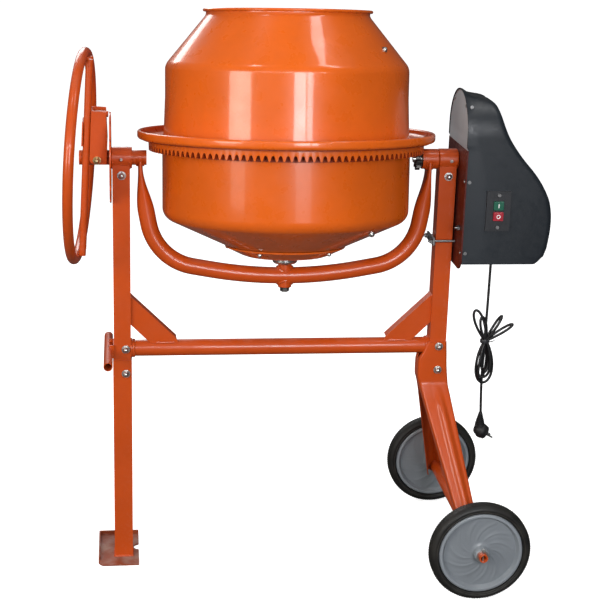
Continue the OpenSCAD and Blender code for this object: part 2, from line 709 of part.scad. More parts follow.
// A dome bolt on the drum at angle a, on radius r and height z, facing out at an angle from the drum's axis
module bolt_on_drum(a, r, z, facing, lift, head) {
    rotate([0, 0, a]) translate([r, 0, z]) rotate([0, facing, 0]) translate([0, 0, lift]) dome_bolt(head);
}
module blade_bolts() {
    neck_low = shoulder_centre + shoulder_r * [cos(shoulder_turn), sin(shoulder_turn)];
    neck_high = [neck_r, mouth_z - 11];
    neck_angle = atan((neck_low.x - neck_high.x) / (neck_high.y - neck_low.y));
    upper = neck_low + 0.3 * (neck_high - neck_low);
    cone_facing = 180 - cone_angle;
    color(steel) tilting() {
        for (a = [-45, 135]) bolt_on_drum(a, 246, cone_z(246), cone_facing, 0.3, 9);
        for (a = [-37, 143]) bolt_on_drum(a, upper.x, upper.y, 90 - neck_angle, 0.3, 7.5);
        for (i = [0:4]) bolt_on_drum(72 * i - 121, 134, cone_z(134), cone_facing, 5, 6);
    }
}
module drum_bottom_plate() {
    rim = [142, cone_z(142)];
    bore = pivot_r + 12;
    color(paint) tilting() {
        revolve() polygon([[bore, floor_z - 0.1], [floor_r, floor_z - 0.1], cone_low + [0, -0.2],
            rim + [0, -0.5], rim + [-1.5, -4.5], [floor_r + 10, floor_z - 1], [floor_r, floor_z - 4.5],
            [bore, floor_z - 4.5]]);
        for (a = [20:60:320]) rotate([0, 0, a]) translate([66, 0, floor_z - 9]) {
            cylinder(r = 3.5, h = 4.4);
        }
    }
}
module drum_pivot_shaft() {
    flange_low = pivot_flange_z[0];
    flange_high = pivot_flange_z[1];
    boss_r = pivot_r + 10;
    color(steel) tilting() {
        revolve() polygon([[pivot_r, flange_low], [25, flange_low], [29, flange_low + 4], [29, flange_high],
            [boss_r, flange_high], [boss_r, floor_z + 7], [pivot_r, floor_z + 7]]);
        translate([0, 0, pivot_low_z - 12]) cylinder(r = pivot_r, h = floor_z + 19 - pivot_low_z);
    }
}
module pivot_housing() {
    color(paint) tilting() translate([0, 0, pivot_low_z]) difference() {
        cylinder(r = pivot_sleeve_r, h = pivot_top_z - pivot_low_z);
        translate([0, 0, -1]) cylinder(r = pivot_bore_r, h = 80);
    }
}
module pivot_nut() {
    color(black) tilting() translate([0, 0, pivot_low_z - 10]) difference() {
        union() {
            cylinder(d = 19 / cos(30), h = 7, $fn = 6);
            translate([0, 0, 7]) cylinder(r = 12, h = 1.8);
        }
        translate([0, 0, -1]) cylinder(r = pivot_r + fixed_gap, h = 12);
    }
}

// ---- drive ----
// Pulley turned about X, with a V groove of depth d
module v_pulley(r, bore, d) {
    rotate([0, 90, 0]) rotate_extrude($fn = 96) polygon([[bore, 0], [r, 0], [r, 3],
        [r - d, 6.5], [r - d, 11.5], [r, 15], [r, pulley_w], [bore, pulley_w]]);
}
module drive_pulley() {
    color([0.35, 0.35, 0.36]) on_axis() translate([pulley_x, 0, 0]) difference() {
        v_pulley(pulley_r, pinion_shaft_r + fixed_gap, 8);
        for (x = [-1, 13]) rotate([0, 90, 0]) translate([0, 0, x]) difference() {
            cylinder(r = pulley_r - 16, h = 6);
            translate([0, 0, -1]) cylinder(r = 20, h = 8);
        }
        for (a = [0:60:300]) rotate([a, 0, 0]) translate([0, 0, 44]) rod_x(13, -1, 20);
    }
}
module motor_pulley() {
    color([0.35, 0.35, 0.36]) translate([pulley_x, 0, motor_z]) v_pulley(motor_pulley_r, 6 + fixed_gap, 5);
}
// Outline of the belt: two circles and their outer tangents
module belt_outline(grow) {
    big = pulley_r - 4 + grow;
    small = motor_pulley_r - 1.5 + grow;
    gap = trunnion_z - motor_z;
    a = asin((big - small) / gap);
    circle(r = big);
    translate([0, -gap]) circle(r = small);
    polygon([[-big * cos(a), -big * sin(a)], [big * cos(a), -big * sin(a)],
        [small * cos(a), -gap - small * sin(a)], [-small * cos(a), -gap - small * sin(a)]]);
}
module drive_belt() {
    color(black) on_axis() in_yz(pulley_x + 6.9, pulley_x + 11.1) difference() {
        belt_outline(3);
        belt_outline(-2.9);
    }
}
module motor_body() {
    color([0.25, 0.26, 0.28]) translate([0, 0, motor_z]) {
        difference() {
            union() {
                rod_x(60, 462, 568);
                rod_x(52, 456, 462);
                for (a = [0:15:345]) rotate([a, 0, 0]) slab([468, -1.5, 58], [562, 1.5, 62]);
                slab([470, -40, -63.9], [555, 40, -50]);
            }
            rod_x(50, 466, 564);
            rod_x(6 + run_gap, 450, 580);
        }
        difference() { rod_x(49.5, 480, 545); rod_x(31, 479, 546); }
        difference() {
            rod_x(57, 568.1, 594);
            rod_x(54, 568, 591);
            for (a = [0:30:330]) rotate([a, 0, 0]) translate([0, 0, 36]) rod_x(5, 590, 595);
        }
    }
}
module motor_rotor() {
    color(steel) translate([0, 0, motor_z]) {
        rod_x(6, pulley_x - 2, 588);
        difference() { rod_x(30, 482, 543); rod_x(6 + fixed_gap, 400, 600); }
        difference() {
            union() {
                rod_x(12, 572, 584);
                for (a = [0:45:315]) rotate([a, 0, 0]) slab([573, -1, 10], [583, 1, 48]);
            }
            rod_x(6 + fixed_gap, 400, 600);
        }
    }
}
module motor_bracket() {
    x = plate_x + plate_t;
    z = motor_z - 64;
    color(paint) difference() {
        union() {
            slab([x, -75, z - 4], [x + 4, 75, z + 64]);
            slab([x + 4, -60, z - 4], [560, 60, z]);
        }
        translate([0, 0, motor_z]) rod_x(22, 400, 420);
        for (y = [-65, 65]) translate([0, y, 850]) rod_x(4.1, 400, 420);
        for (y = [-clamp_y, clamp_y]) translate([0, y, clamp_z]) rod_x(7, 400, 420);
    }
}
module plate_outline() {
    w = cover_half_w - 0.5;
    polygon(concat([[w, plate_top_z], [-w, plate_top_z]], arc([-w + 30, plate_low_z + 30], 30, 180, 270, 6),
        arc([w - 30, plate_low_z + 30], 30, 270, 360, 6)));
}
module mounting_plate() {
    inner = cover_half_w - cover_t - 0.1;
    color(paint) {
        difference() {
            in_yz(plate_x, plate_x + plate_t) plate_outline();
            on_axis() rod_x(spigot_r + 1.5, 300, 500);
            for (y = [-65, 65]) translate([0, y, 850]) rod_x(4.1, 380, 420);
            for (y = [-clamp_y, clamp_y]) translate([0, y, clamp_z]) rod_x(3.1, 380, 420);
            both_y() for (z = [screw_z[1], screw_z[2]]) translate([0, -88, z]) rod_x(2.1, 380, 420);
        }
        both_y() difference() {
            slab([plate_x + plate_t, -inner, 790], [plate_x + plate_t + 22, -inner + 2.5, 1030]);
            for (z = [screw_z[1], screw_z[2]]) translate([cover_x + 6, 0, z]) rod_y(2.1, -120, -80);
        }
    }
}
// Bracket bolts beside the upright, and the two long clamp bolts that grip it with a bar
module motor_fixings() {
    color(steel) {
        for (y = [-65, 65]) translate([0, y, 850]) {
            rod_x(4, plate_x - 11, plate_x + 11);
            hex_x(12, plate_x - 6, plate_x - 0.1);
            hex_x(12, plate_x + plate_t + 4.1, plate_x + plate_t + 9);
        }
        for (y = [-clamp_y, clamp_y]) translate([0, y, clamp_z]) {
            rod_x(3, 340, plate_x + 10);
            hex_x(10, 344, 349.8);
            hex_x(10, plate_x + plate_t + 0.1, plate_x + plate_t + 4);
        }
        difference() {
            slab([350, -36, clamp_z - 9], [354, 36, clamp_z + 9]);
            for (y = [-clamp_y, clamp_y]) translate([0, y, clamp_z]) rod_x(3.1, 300, 420);
        }
    }
}

// Side view of the cover: a crown, a sloping back that swells over the motor, and a stepped floor
cover_side = concat([[cover_x, cover_floor_z], [cover_x, 1167], [411, 1167], [424, 1153]],
    arc([453, 1121], 28, 88, 20, 6), [[488, 1090], [498, 1066], [516, 1040], [539, 1014], [564, 988]],
    arc([500, 866], 114.5, 40, -6, 9),
    [[611, 828], [609, 796], [600, 792], [596, 779], [582, cover_floor_z]]);
module cover_body(x_shift, t) {
    w = cover_half_w - t;
    arch = cover_half_w;
    intersection() {
        in_xz(-w, w) translate([x_shift, 0]) children();
        in_yz(380, 640) union() {
            translate([0, cover_top_z]) circle(r = arch - t, $fn = 96);
            translate([-w, 700]) square([2 * w, cover_top_z - 700]);
        }
    }
}
cover_inside = concat([[cover_x - 5, cover_floor_z + cover_t], [cover_x - 5, 1164], [409.6, 1164]],
    [[422.7, 1150]], arc([453, 1121], 25, 88, 20, 6),
    [[485.2, 1088.9], [495.4, 1064.7], [513.6, 1038.2], [536.8, 1011.9], [561.7, 985.9]],
    arc([500, 866], 111.5, 40, -6, 9), [[608, 828], [606.2, 798], [597.6, 794], [593.6, 781],
    [580.6, cover_floor_z + cover_t]]);
module switch_screws() {
    for (z = [-switch_screw, switch_screw]) translate([switch_pos.x, 0, switch_pos.y + z]) children();
}
module motor_cover() {
    color(black) difference() {
        cover_body(0, 0) polygon(cover_side);
        cover_body(0, cover_t) polygon(cover_inside);
        slab([switch_pos.x - 22, -120, switch_pos.y - 32], [switch_pos.x + 22, -80, switch_pos.y + 32]);
        translate([cord_x, cord_y, cover_floor_z - 5]) cylinder(r = 8.1, h = 12);
        both_y() for (z = screw_z) translate([cover_x + 6, 0, z]) rod_y(2.1, -120, -40);
        switch_screws() rod_y(2.1, -120, -80);
    }
}
module inner_cover() {
    w = cover_half_w - cover_t - 0.1;
    color([0.55, 0.55, 0.55]) difference() {
        in_yz(plate_x + 0.4, plate_x + 2.8) intersection() {
            union() {
                translate([0, cover_top_z]) circle(r = w, $fn = 96);
                translate([-w, 1000]) square([2 * w, cover_top_z - 1000]);
            }
            translate([-100, plate_top_z + 0.2]) square([200, 200]);
        }
        both_y() translate([0, -62, screw_z[0]]) rod_x(2.1, 380, 420);
    }
}
// Half the width of the cover's arch at a height
function arch_half(z) = sqrt(pow(cover_half_w, 2) - pow(z - cover_top_z, 2));
module pan_screw_y() { rod_y(2, -0.1, 12); translate([0, -1.9, 0]) rod_y(4, -0.6, 1.8); }
module pan_screw_x() { rod_x(2, -0.1, 8); rod_x(4, -2.5, -0.1); }
module cover_screws() {
    color(steel) {
        both_y() {
            for (z = [screw_z[1], screw_z[2]]) {
                translate([cover_x + 6, -cover_half_w, z]) pan_screw_y();
                translate([plate_x, -88, z]) pan_screw_x();
            }
            translate([cover_x + 6, -arch_half(screw_z[0]) - 4, screw_z[0]]) pan_screw_y();
            translate([plate_x + 0.4, -62, screw_z[0]]) pan_screw_x();
        }
        switch_screws() translate([0, -cover_half_w - 5, 0]) pan_screw_y();
    }
}

// ---- switch ----
module switch_box() {
    y = -cover_half_w;
    s = switch_size / 2;
    color(black) difference() {
        union() {
            slab([switch_pos.x - s.x, y - 5, switch_pos.y - s.y],
                 [switch_pos.x + s.x, y - 0.1, switch_pos.y + s.y]);
            slab([switch_pos.x - 21.5, y - 0.1, switch_pos.y - 31.5],
                 [switch_pos.x + 21.5, y + 34, switch_pos.y + 31.5]);
        }
        slab([start_pos.x - 12.5, y - 6, start_pos.y - 11], [start_pos.x + 12.5, y + 8, start_pos.y + 11]);
        slab([stop_pos.x - 12.5, y - 6, stop_pos.y - 11], [stop_pos.x + 12.5, y + 8, stop_pos.y + 11]);
        switch_screws() rod_y(2.1, y - 10, y + 10);
    }
}
module button(p, h) {
    y = -cover_half_w;
    slab([p.x - 12, y - 5 - h, p.y - 10.5], [p.x + 12, y + 8 - button_travel - 0.2, p.y + 10.5]);
}
module start_button() { color([0.2, 0.5, 0.35]) button(start_pos, 3.6); }
module stop_button() { color([0.75, 0.2, 0.2]) button(stop_pos, 5); }

// ---- cord ----
module cord_gland() {
    color(black) translate([cord_x, cord_y, 0]) difference() {
        union() {
            translate([0, 0, cover_floor_z - 9]) cylinder(r = 11, h = 8.9);
            translate([0, 0, cover_floor_z - 9]) cylinder(r = 8, h = 18);
            translate([0, 0, cover_floor_z + cover_t + 0.1]) cylinder(r = 11, h = 5);
        }
        translate([0, 0, 700]) cylinder(r = cord_r + 0.1, h = 100);
    }
}
// Stadium-shaped turn of the coiled cord, standing in a plane turned by a about Z
module cord_turn(a, lean, half, low, high) {
    translate([cord_x, cord_y, tie_z]) rotate([0, lean, a]) {
        translate([0, 0, low]) cylinder(r = cord_r, h = high - low, $fn = 24);
        for (s = [-1, 1]) translate([s * half, 0, low]) cylinder(r = cord_r, h = high - low, $fn = 24);
        for (z = [[low, 180], [high, 0]]) translate([0, 0, z[0]]) rotate([90, 0, 0]) rotate([0, 0, z[1]])
            rotate_extrude(angle = 180, $fn = 48) translate([half, 0]) circle(r = cord_r, $fn = 24);
    }
}
module power_cord() {
    color(black) difference() {
        union() {
            translate([cord_x, cord_y, tie_z]) cylinder(r = cord_r, h = cover_floor_z + 20 - tie_z, $fn = 24);
            cord_turn(10, -4, 16, -100, 44);
            cord_turn(70, 5, 13, -84, 52);
            translate([cord_x, cord_y, plug_pos.z + 40.2])
                cylinder(r = cord_r, h = tie_z - plug_pos.z - 40, $fn = 24);
        }
    }
}
module cord_tie() {
    color([0.05, 0.05, 0.05]) translate([cord_x, cord_y, tie_z - 14]) difference() {
        cylinder(r = 27, h = 5);
        translate([0, 0, -1]) cylinder(r = 25, h = 7);
    }
}
module plug() {
    color(black) translate([cord_x, cord_y, plug_pos.z]) {
        translate([0, 0, 8]) cylinder(r = 8, h = 32);
        rotate([0, 120, 0]) translate([0, 0, -6]) cylinder(r = 18, h = 24);
    }
    color(steel) translate([cord_x, cord_y, plug_pos.z]) rotate([0, 120, 0]) for (y = [-9.5, 9.5])
        translate([0, y, 18.1]) cylinder(r = 2.4, h = 19, $fn = 24);
}

placed() left_upright();
placed() right_upright();
placed() crossbar();
placed() corner_braces();
placed() stand_leg();
placed() foot_plate();
placed() tow_handle();
placed() wheel_fork();
placed() axle();
placed() axle_washers();
placed() cotter_pins();
placed() front_wheel_disc();
placed() front_tyre();
placed() rear_wheel_disc();
placed() rear_tyre();
placed() left_bearing_housing();
placed() right_bearing_housing();
placed() trunnion_bushes();
placed() frame_bolts();
placed() grease_nipples();
placed() lock_disc();
placed() tilt_shaft();
placed() yoke_tube();
placed() pinion_sleeve();
placed() ball_bearings();
placed() pinion_shaft();
placed() pinion_gear();
placed() drive_pulley();
placed() drive_belt();
placed() motor_pulley();
placed() motor_body();
placed() motor_rotor();
placed() motor_bracket();
placed() mounting_plate();
placed() motor_fixings();
placed() inner_cover();
placed() motor_cover();
placed() cover_screws();
placed() switch_box();
placed() start_button();
placed() stop_button();
placed() power_cord();
placed() cord_gland();
placed() cord_tie();
placed() plug();
placed() drum_lower();
placed() drum_upper();
placed() mouth_ring();
placed() ring_gear();
placed() mixing_blades();
placed() blade_bolts();
placed() drum_bottom_plate();
placed() drum_pivot_shaft();
placed() pivot_housing();
placed() pivot_nut();
placed() handwheel_ring();
placed() handwheel_spokes();
placed() handwheel_hub();
placed() hub_bolt();
placed() latch_spring();
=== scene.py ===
"""The looks of an upright tilting-drum concrete mixer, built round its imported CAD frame.

Lengths are in metres in the frame's own axes. A piece that is easier to place from the middle of the
machine is drawn in millimetres from the ground point under the drum, through at() and tilted().
"""
import json
import math

import bmesh
import bpy
from mathutils import Matrix, Vector, noise


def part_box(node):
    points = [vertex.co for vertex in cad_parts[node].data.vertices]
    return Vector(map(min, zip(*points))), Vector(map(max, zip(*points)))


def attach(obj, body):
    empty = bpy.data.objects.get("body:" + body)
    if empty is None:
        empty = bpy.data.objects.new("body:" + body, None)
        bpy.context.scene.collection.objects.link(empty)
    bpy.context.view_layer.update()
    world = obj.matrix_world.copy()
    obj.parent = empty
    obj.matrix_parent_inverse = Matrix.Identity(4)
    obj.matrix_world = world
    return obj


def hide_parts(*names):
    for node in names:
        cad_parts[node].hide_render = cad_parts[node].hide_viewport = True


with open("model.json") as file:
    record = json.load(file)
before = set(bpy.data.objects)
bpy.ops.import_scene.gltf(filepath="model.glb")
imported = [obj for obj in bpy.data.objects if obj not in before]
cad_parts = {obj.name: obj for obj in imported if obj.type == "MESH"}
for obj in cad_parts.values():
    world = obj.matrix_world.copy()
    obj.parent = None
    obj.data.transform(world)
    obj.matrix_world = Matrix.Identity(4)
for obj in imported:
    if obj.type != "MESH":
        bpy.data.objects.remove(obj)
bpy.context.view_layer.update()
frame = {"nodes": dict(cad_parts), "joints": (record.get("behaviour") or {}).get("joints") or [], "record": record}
JOINTS = {j["name"]: j for j in frame["joints"]}

MM = 0.001
TRUNNION = Vector(JOINTS["drum_tilt"]["pos_m"])
SPIN_AXIS = Vector(JOINTS["drum_spin"]["axis"])
LEAN = math.atan2(SPIN_AXIS.y, SPIN_AXIS.z)
TILT = Matrix.Translation(TRUNNION) @ Matrix.Rotation(-LEAN, 4, "X")
PIVOT = Vector(JOINTS["latch_rock"]["pos_m"])
WHEEL_LEAN = math.radians(2.8)
AXLE_Z = JOINTS["front_wheel_spin"]["pos_m"][2] / MM
LEANED = Matrix.Translation(PIVOT) @ Matrix.Rotation(WHEEL_LEAN, 4, "Y")


def at(x, y, z):
    """A point in millimetres from the ground under the drum."""
    return Vector((TRUNNION.x + x * MM, y * MM, z * MM))


def tilted(x, y, z):
    """A point in millimetres from the middle of the tilting axis, in the tilting frame."""
    return TILT @ Vector((x * MM, y * MM, z * MM))


def leaned(x, y, z):
    """A point in millimetres from the handwheel's pivot bolt, in the leaning wheel's frame."""
    return LEANED @ Vector((x * MM, y * MM, z * MM))


# ---------------------------------------------------------------- materials
class Nodes:
    """A short way to write a material's node tree."""

    def __init__(self, name):
        self.material = bpy.data.materials.new(name)
        self.material.use_nodes = True
        self.tree = self.material.node_tree
        self.shader = self.tree.nodes["Principled BSDF"]
        self.coords = self.tree.nodes.new("ShaderNodeTexCoord").outputs["Object"]

    def put(self, socket, value):
        """Feed an input with another node's output or with a plain value."""
        if isinstance(value, bpy.types.NodeSocket):
            self.tree.links.new(value, socket)
        else:
            socket.default_value = value

    def node(self, kind, inputs=None, **settings):
        made = self.tree.nodes.new(kind)
        for key, value in settings.items():
            setattr(made, key, value)
        for key, value in (inputs or {}).items():
            self.put(made.inputs[key], value)
        return made

    def noise(self, scale, detail=3.0, stretch=None, rough=0.55):
        """A noise from 0 to 1; scale is in waves per metre."""
        vector = self.coords
        if stretch:
            vector = self.node("ShaderNodeMapping", {"Vector": vector, "Scale": stretch}).outputs[0]
        keys = {"Vector": vector, "Scale": scale, "Detail": detail, "Roughness": rough}
        return self.node("ShaderNodeTexNoise", keys).outputs["Fac"]

    def span(self, value, low, high, to_low=0.0, to_high=1.0):
        """Stretch the values from low to high over to_low to to_high, and clamp the rest."""
        keys = {0: value, 1: low, 2: high, 3: to_low, 4: to_high}
        return self.node("ShaderNodeMapRange", keys, clamp=True).outputs[0]

    def math(self, operation, a, b=0.0):
        return self.node("ShaderNodeMath", {0: a, 1: b}, operation=operation).outputs[0]

    def mix(self, factor, a, b):
        made = self.tree.nodes.new("ShaderNodeMix")
        made.data_type = "RGBA"
        self.put(made.inputs[0], factor)
        self.put(made.inputs[6], a)
        self.put(made.inputs[7], b)
        return made.outputs[2]

    def bump(self, height, distance, strength=1.0, normal=None):
        keys = {"Height": height, "Distance": distance, "Strength": strength}
        if normal is not None:
            keys["Normal"] = normal
        return self.node("ShaderNodeBump", keys).outputs[0]

    def up(self):
        """How far the surface faces up, from -1 to 1."""
        normal = self.node("ShaderNodeNewGeometry").outputs["Normal"]
        return self.node("ShaderNodeSeparateXYZ", {0: normal}).outputs[2]

    def edges(self, low, high):
        """1 on convex edges and 0 elsewhere."""
        sharp = self.node("ShaderNodeNewGeometry").outputs["Pointiness"]
        return self.span(sharp, low, high)

    def hollows(self, low, high):
        """1 in concave creases and 0 elsewhere."""
        sharp = self.node("ShaderNodeNewGeometry").outputs["Pointiness"]
        return self.span(sharp, low, high, 1.0, 0.0)


def rgb(r, g, b):
    return (r, g, b, 1.0)


def scaled(colour, factor):
    return rgb(*(min(1.0, c * factor) for c in colour[:3]))


DUST = rgb(0.55, 0.5, 0.44)
BARE = rgb(0.42, 0.38, 0.35)


def painted(name, colour, rough=0.3, coat=0.35, dust=0.1, wear=0.25, dust_from=0.55):
    """Sprayed gloss paint: orange peel, soft waviness, tone drift, painted shade darkening the creases, rubbed
    edges and a little dust.
    """
    n = Nodes(name)
    drift = n.span(n.noise(5.0, 4.0), 0.3, 0.7)
    fine = n.span(n.noise(70.0, 3.0), 0.35, 0.7)
    tone = n.mix(drift, scaled(colour, 0.9), scaled(colour, 1.08))
    tone = n.mix(n.math("MULTIPLY", fine, 0.1), tone, scaled(colour, 0.72))
    # painted shade: the paint is darker in concave creases
    crease_shade = n.math("MULTIPLY", n.hollows(0.42, 0.49), 0.5)
    tone = n.mix(crease_shade, tone, scaled(colour, 0.35))
    chips = n.math("MULTIPLY", n.edges(0.53, 0.62), n.span(n.noise(130.0, 4.0), 0.5, 0.62))
    chips = n.math("MULTIPLY", chips, wear)
    tone = n.mix(chips, tone, BARE)
    settled = n.math("MULTIPLY", n.span(n.up(), dust_from, 0.98), n.span(n.noise(18.0, 5.0), 0.42, 0.7))
    settled = n.math("MULTIPLY", settled, dust)
    tone = n.mix(settled, tone, DUST)
    n.put(n.shader.inputs["Base Color"], tone)
    gloss = n.span(n.noise(24.0, 5.0), 0.3, 0.75, rough - 0.05, rough + 0.12)
    gloss = n.math("ADD", gloss, n.math("MULTIPLY", settled, 0.8))
    n.put(n.shader.inputs["Roughness"], gloss)
    n.put(n.shader.inputs["Coat Weight"], coat)
    n.put(n.shader.inputs["Coat Roughness"], 0.07)
    n.put(n.shader.inputs["Specular IOR Level"], 0.3)
    waves = n.bump(n.noise(9.0, 2.0), 0.0012, 0.35)
    n.put(n.shader.inputs["Normal"], n.bump(n.noise(420.0, 2.0), 0.0001, 0.6, waves))
    return n.material


def metal(name, colour, rough=0.34, tarnish=0.35, metallic=1.0):
    """Plated or bare metal: fine grain, tarnish blotches, brighter edges and painted shade darkening the hollows.
    """
    n = Nodes(name)
    blotch = n.span(n.noise(60.0, 5.0), 0.4, 0.72)
    tone = n.mix(n.math("MULTIPLY", blotch, tarnish), colour, scaled(colour, 0.45))
    tone = n.mix(n.math("MULTIPLY", n.edges(0.52, 0.6), 0.5), tone, scaled(colour, 1.35))
    # painted shade: the metal is darker in concave hollows
    tone = n.mix(n.math("MULTIPLY", n.hollows(0.4, 0.49), 0.6), tone, scaled(colour, 0.3))
    n.put(n.shader.inputs["Base Color"], tone)
    n.put(n.shader.inputs["Metallic"], metallic)
    grain = n.noise(900.0, 2.0, (1.0, 1.0, 8.0))
    n.put(n.shader.inputs["Roughness"], n.span(grain, 0.3, 0.7, rough - 0.08, rough + 0.14))
    n.put(n.shader.inputs["Normal"], n.bump(grain, 0.00006, 0.5))
    return n.material


def plastic(name, colour, rough=0.5, grain=0.0001, grain_scale=900.0, dust=0.1, coat=0.0):
    """Moulded plastic: an eroded mould grain, scuffs and dust on the upper faces."""
    n = Nodes(name)
    cloud = n.span(n.noise(7.0, 4.0), 0.3, 0.7)
    tone = n.mix(cloud, scaled(colour, 0.88), scaled(colour, 1.12))
    scuffs = n.span(n.noise(40.0, 6.0, (1.0, 0.25, 6.0)), 0.62, 0.78)
    tone = n.mix(n.math("MULTIPLY", scuffs, 0.16), tone, scaled(colour, 1.9))
    tone = n.mix(n.math("MULTIPLY", n.edges(0.515, 0.58), 0.35), tone, scaled(colour, 1.7))
    settled = n.math("MULTIPLY", n.span(n.up(), 0.2, 0.95), n.span(n.noise(30.0, 5.0), 0.35, 0.75))
    settled = n.math("MULTIPLY", settled, dust)
    tone = n.mix(settled, tone, DUST)
    n.put(n.shader.inputs["Base Color"], tone)
    gloss = n.span(n.noise(90.0, 4.0), 0.3, 0.7, rough - 0.06, rough + 0.08)
    n.put(n.shader.inputs["Roughness"], gloss)
    n.put(n.shader.inputs["Coat Weight"], coat)
    n.put(n.shader.inputs["Normal"], n.bump(n.noise(grain_scale, 3.0), grain, 0.7))
    return n.material


def tyre_rubber(name):
    """Worn rubber with a bloom of pale dust round the tread."""
    n = Nodes(name)
    base = rgb(0.006, 0.0058, 0.0054)
    bloom = n.span(n.noise(26.0, 6.0), 0.38, 0.75)
    tone = n.mix(n.math("MULTIPLY", bloom, 0.24), base, rgb(0.06, 0.054, 0.04))
    tone = n.mix(n.math("MULTIPLY", n.hollows(0.43, 0.5), 0.5), tone, rgb(0.15, 0.13, 0.1))
    n.put(n.shader.inputs["Base Color"], tone)
    n.put(n.shader.inputs["Roughness"], n.span(bloom, 0.0, 1.0, 0.48, 0.78))
    n.put(n.shader.inputs["Normal"], n.bump(n.noise(500.0, 4.0), 0.00012, 0.8))
    return n.material


ORANGE = rgb(0.66, 0.108, 0.006)
PAINT = painted("drum_paint", ORANGE, rough=0.28, coat=0.5, dust=0.5, wear=0.1, dust_from=0.9)
# painted shade: a dark matt paint for the shaded wall behind the ring gear and the faces between its teeth
GEAR_SHADE_PAINT = painted("gear_shade_paint", rgb(0.27, 0.03, 0.004), rough=0.5, coat=0.0, dust=0.0, wear=0.0)
FRAME_PAINT = painted("frame_paint", rgb(0.53, 0.068, 0.006), rough=0.33, coat=0.3, dust=0.1, wear=0.04)
FOOT_PAINT = painted("foot_paint", rgb(0.26, 0.05, 0.015), rough=0.5, coat=0.05, dust=0.4, wear=0.8)
# painted shade: the mounting plate and motor bracket get a dark red that stands for the shade they sit in
SHADED_PLATE_PAINT = painted("plate_paint_painted_shade", rgb(0.085, 0.009, 0.005), rough=0.45, coat=0.1, dust=0.1, wear=0.3)
ZINC = metal("zinc", rgb(0.62, 0.62, 0.6), 0.3, tarnish=0.3)
SCREW_ZINC = metal("screw_zinc", rgb(0.3, 0.3, 0.3), 0.42, tarnish=0.5)
YELLOW_ZINC = metal("yellow_zinc", rgb(0.62, 0.5, 0.26), 0.3)
DARK_STEEL = metal("dark_steel", rgb(0.09, 0.085, 0.08), 0.45, metallic=0.85)
PULLEY_IRON = metal("pulley_iron", rgb(0.36, 0.36, 0.37), 0.42)
BRONZE = metal("bush_bronze", rgb(0.5, 0.32, 0.14), 0.4)
COVER = plastic("cover_plastic", rgb(0.0115, 0.0155, 0.0205), 0.42, 0.00016, 700.0, dust=0.06)
INNER = plastic("inner_plastic", rgb(0.33, 0.38, 0.4), 0.55, dust=0.05)
BLACK = plastic("black_plastic", rgb(0.018, 0.019, 0.022), 0.42, dust=0.04)
CORD_LOOK = plastic("cord_rubber", rgb(0.005, 0.005, 0.006), 0.5, 0.00008, 500.0, dust=0.06)
WHEEL = plastic("wheel_plastic", rgb(0.2, 0.22, 0.24), 0.34, 0.0001, 600.0, dust=0.1, coat=0.1)
TYRE = tyre_rubber("tyre_rubber")
GREEN = plastic("green_button", rgb(0.012, 0.09, 0.055), 0.3, coat=0.4, dust=0.0)
RED = plastic("red_button", rgb(0.3, 0.018, 0.03), 0.3, coat=0.4, dust=0.0)
WHITE = plastic("mark_white", rgb(0.8, 0.8, 0.78), 0.4, dust=0.0)

CAD_LOOKS = {
    "paint": FRAME_PAINT, "zinc": ZINC, "yellow_zinc": YELLOW_ZINC, "dark_steel": DARK_STEEL,
    "pulley_iron": PULLEY_IRON, "bush_bronze": BRONZE, "rubber": CORD_LOOK, "tyre": TYRE,
    "wheel_plastic": WHEEL, "cover_plastic": COVER, "inner_plastic": INNER, "tie": BLACK,
    "green_button": GREEN, "red_button": RED,
}
NODE_LOOKS = {
    "foot_plate": FOOT_PAINT, "mounting_plate": SHADED_PLATE_PAINT, "motor_bracket": SHADED_PLATE_PAINT,
    "switch_box": BLACK, "cover_screws": SCREW_ZINC, "motor_fixings": SCREW_ZINC,
}
DRUM_PAINTED = ("drum_lower", "drum_upper", "mouth_ring", "ring_gear", "mixing_blades", "drum_bottom_plate")
NODE_LOOKS.update((node, PAINT) for node in DRUM_PAINTED)
# Width of the rounded edge given to a CAD node that stays in view, in millimetres
EDGE_ROUNDING = {
    "left_upright": 2.5, "right_upright": 2.5, "stand_leg": 2.5, "corner_braces": 1.0, "axle": 0.6,
    "foot_plate": 0.8, "tow_handle": 0.5, "crossbar": 0.8, "lock_disc": 0.8, "tilt_shaft": 0.7,
    "pinion_sleeve": 1.0, "handwheel_hub": 1.0, "mounting_plate": 0.8, "inner_cover": 0.5,
    "frame_bolts": 0.4, "hub_bolt": 0.4, "motor_fixings": 0.3, "pivot_housing": 0.8, "pivot_nut": 0.5,
    "switch_box": 1.2, "start_button": 1.4, "stop_button": 1.4, "left_bearing_housing": 0.6,
    "right_bearing_housing": 0.6, "drum_pivot_shaft": 0.8, "cord_gland": 0.8, "cover_screws": 0.3,
}


def dress_cad_nodes():
    """Give every CAD node its material, and rounded edges where it stays in view."""
    for part in frame["record"]["subparts"]:
        node = frame["nodes"][part["node"]]
        look = NODE_LOOKS.get(part["node"], CAD_LOOKS[part["material_slot"]])
        node.data.materials.clear()
        node.data.materials.append(look)
        for polygon in node.data.polygons:
            polygon.material_index = 0
            polygon.use_smooth = True
        if part["node"] in EDGE_ROUNDING:
            round_edges(node, EDGE_ROUNDING[part["node"]] * MM)


def round_edges(obj, width):
    """Weld the CAD's triangles, join the flat ones, and round what edges are left."""
    weld = obj.modifiers.new("weld", "WELD")
    weld.merge_threshold = 0.00002
    flat = obj.modifiers.new("flat", "DECIMATE")
    flat.decimate_type = "DISSOLVE"
    flat.angle_limit = math.radians(0.6)
    bevel = obj.modifiers.new("bevel", "BEVEL")
    bevel.width = width
    bevel.segments = 3
    bevel.limit_method = "ANGLE"
    bevel.angle_limit = math.radians(32)
    bevel.use_clamp_overlap = True
    bevel.miter_outer = "MITER_ARC"
    normals = obj.modifiers.new("normals", "WEIGHTED_NORMAL")
    normals.keep_sharp = True


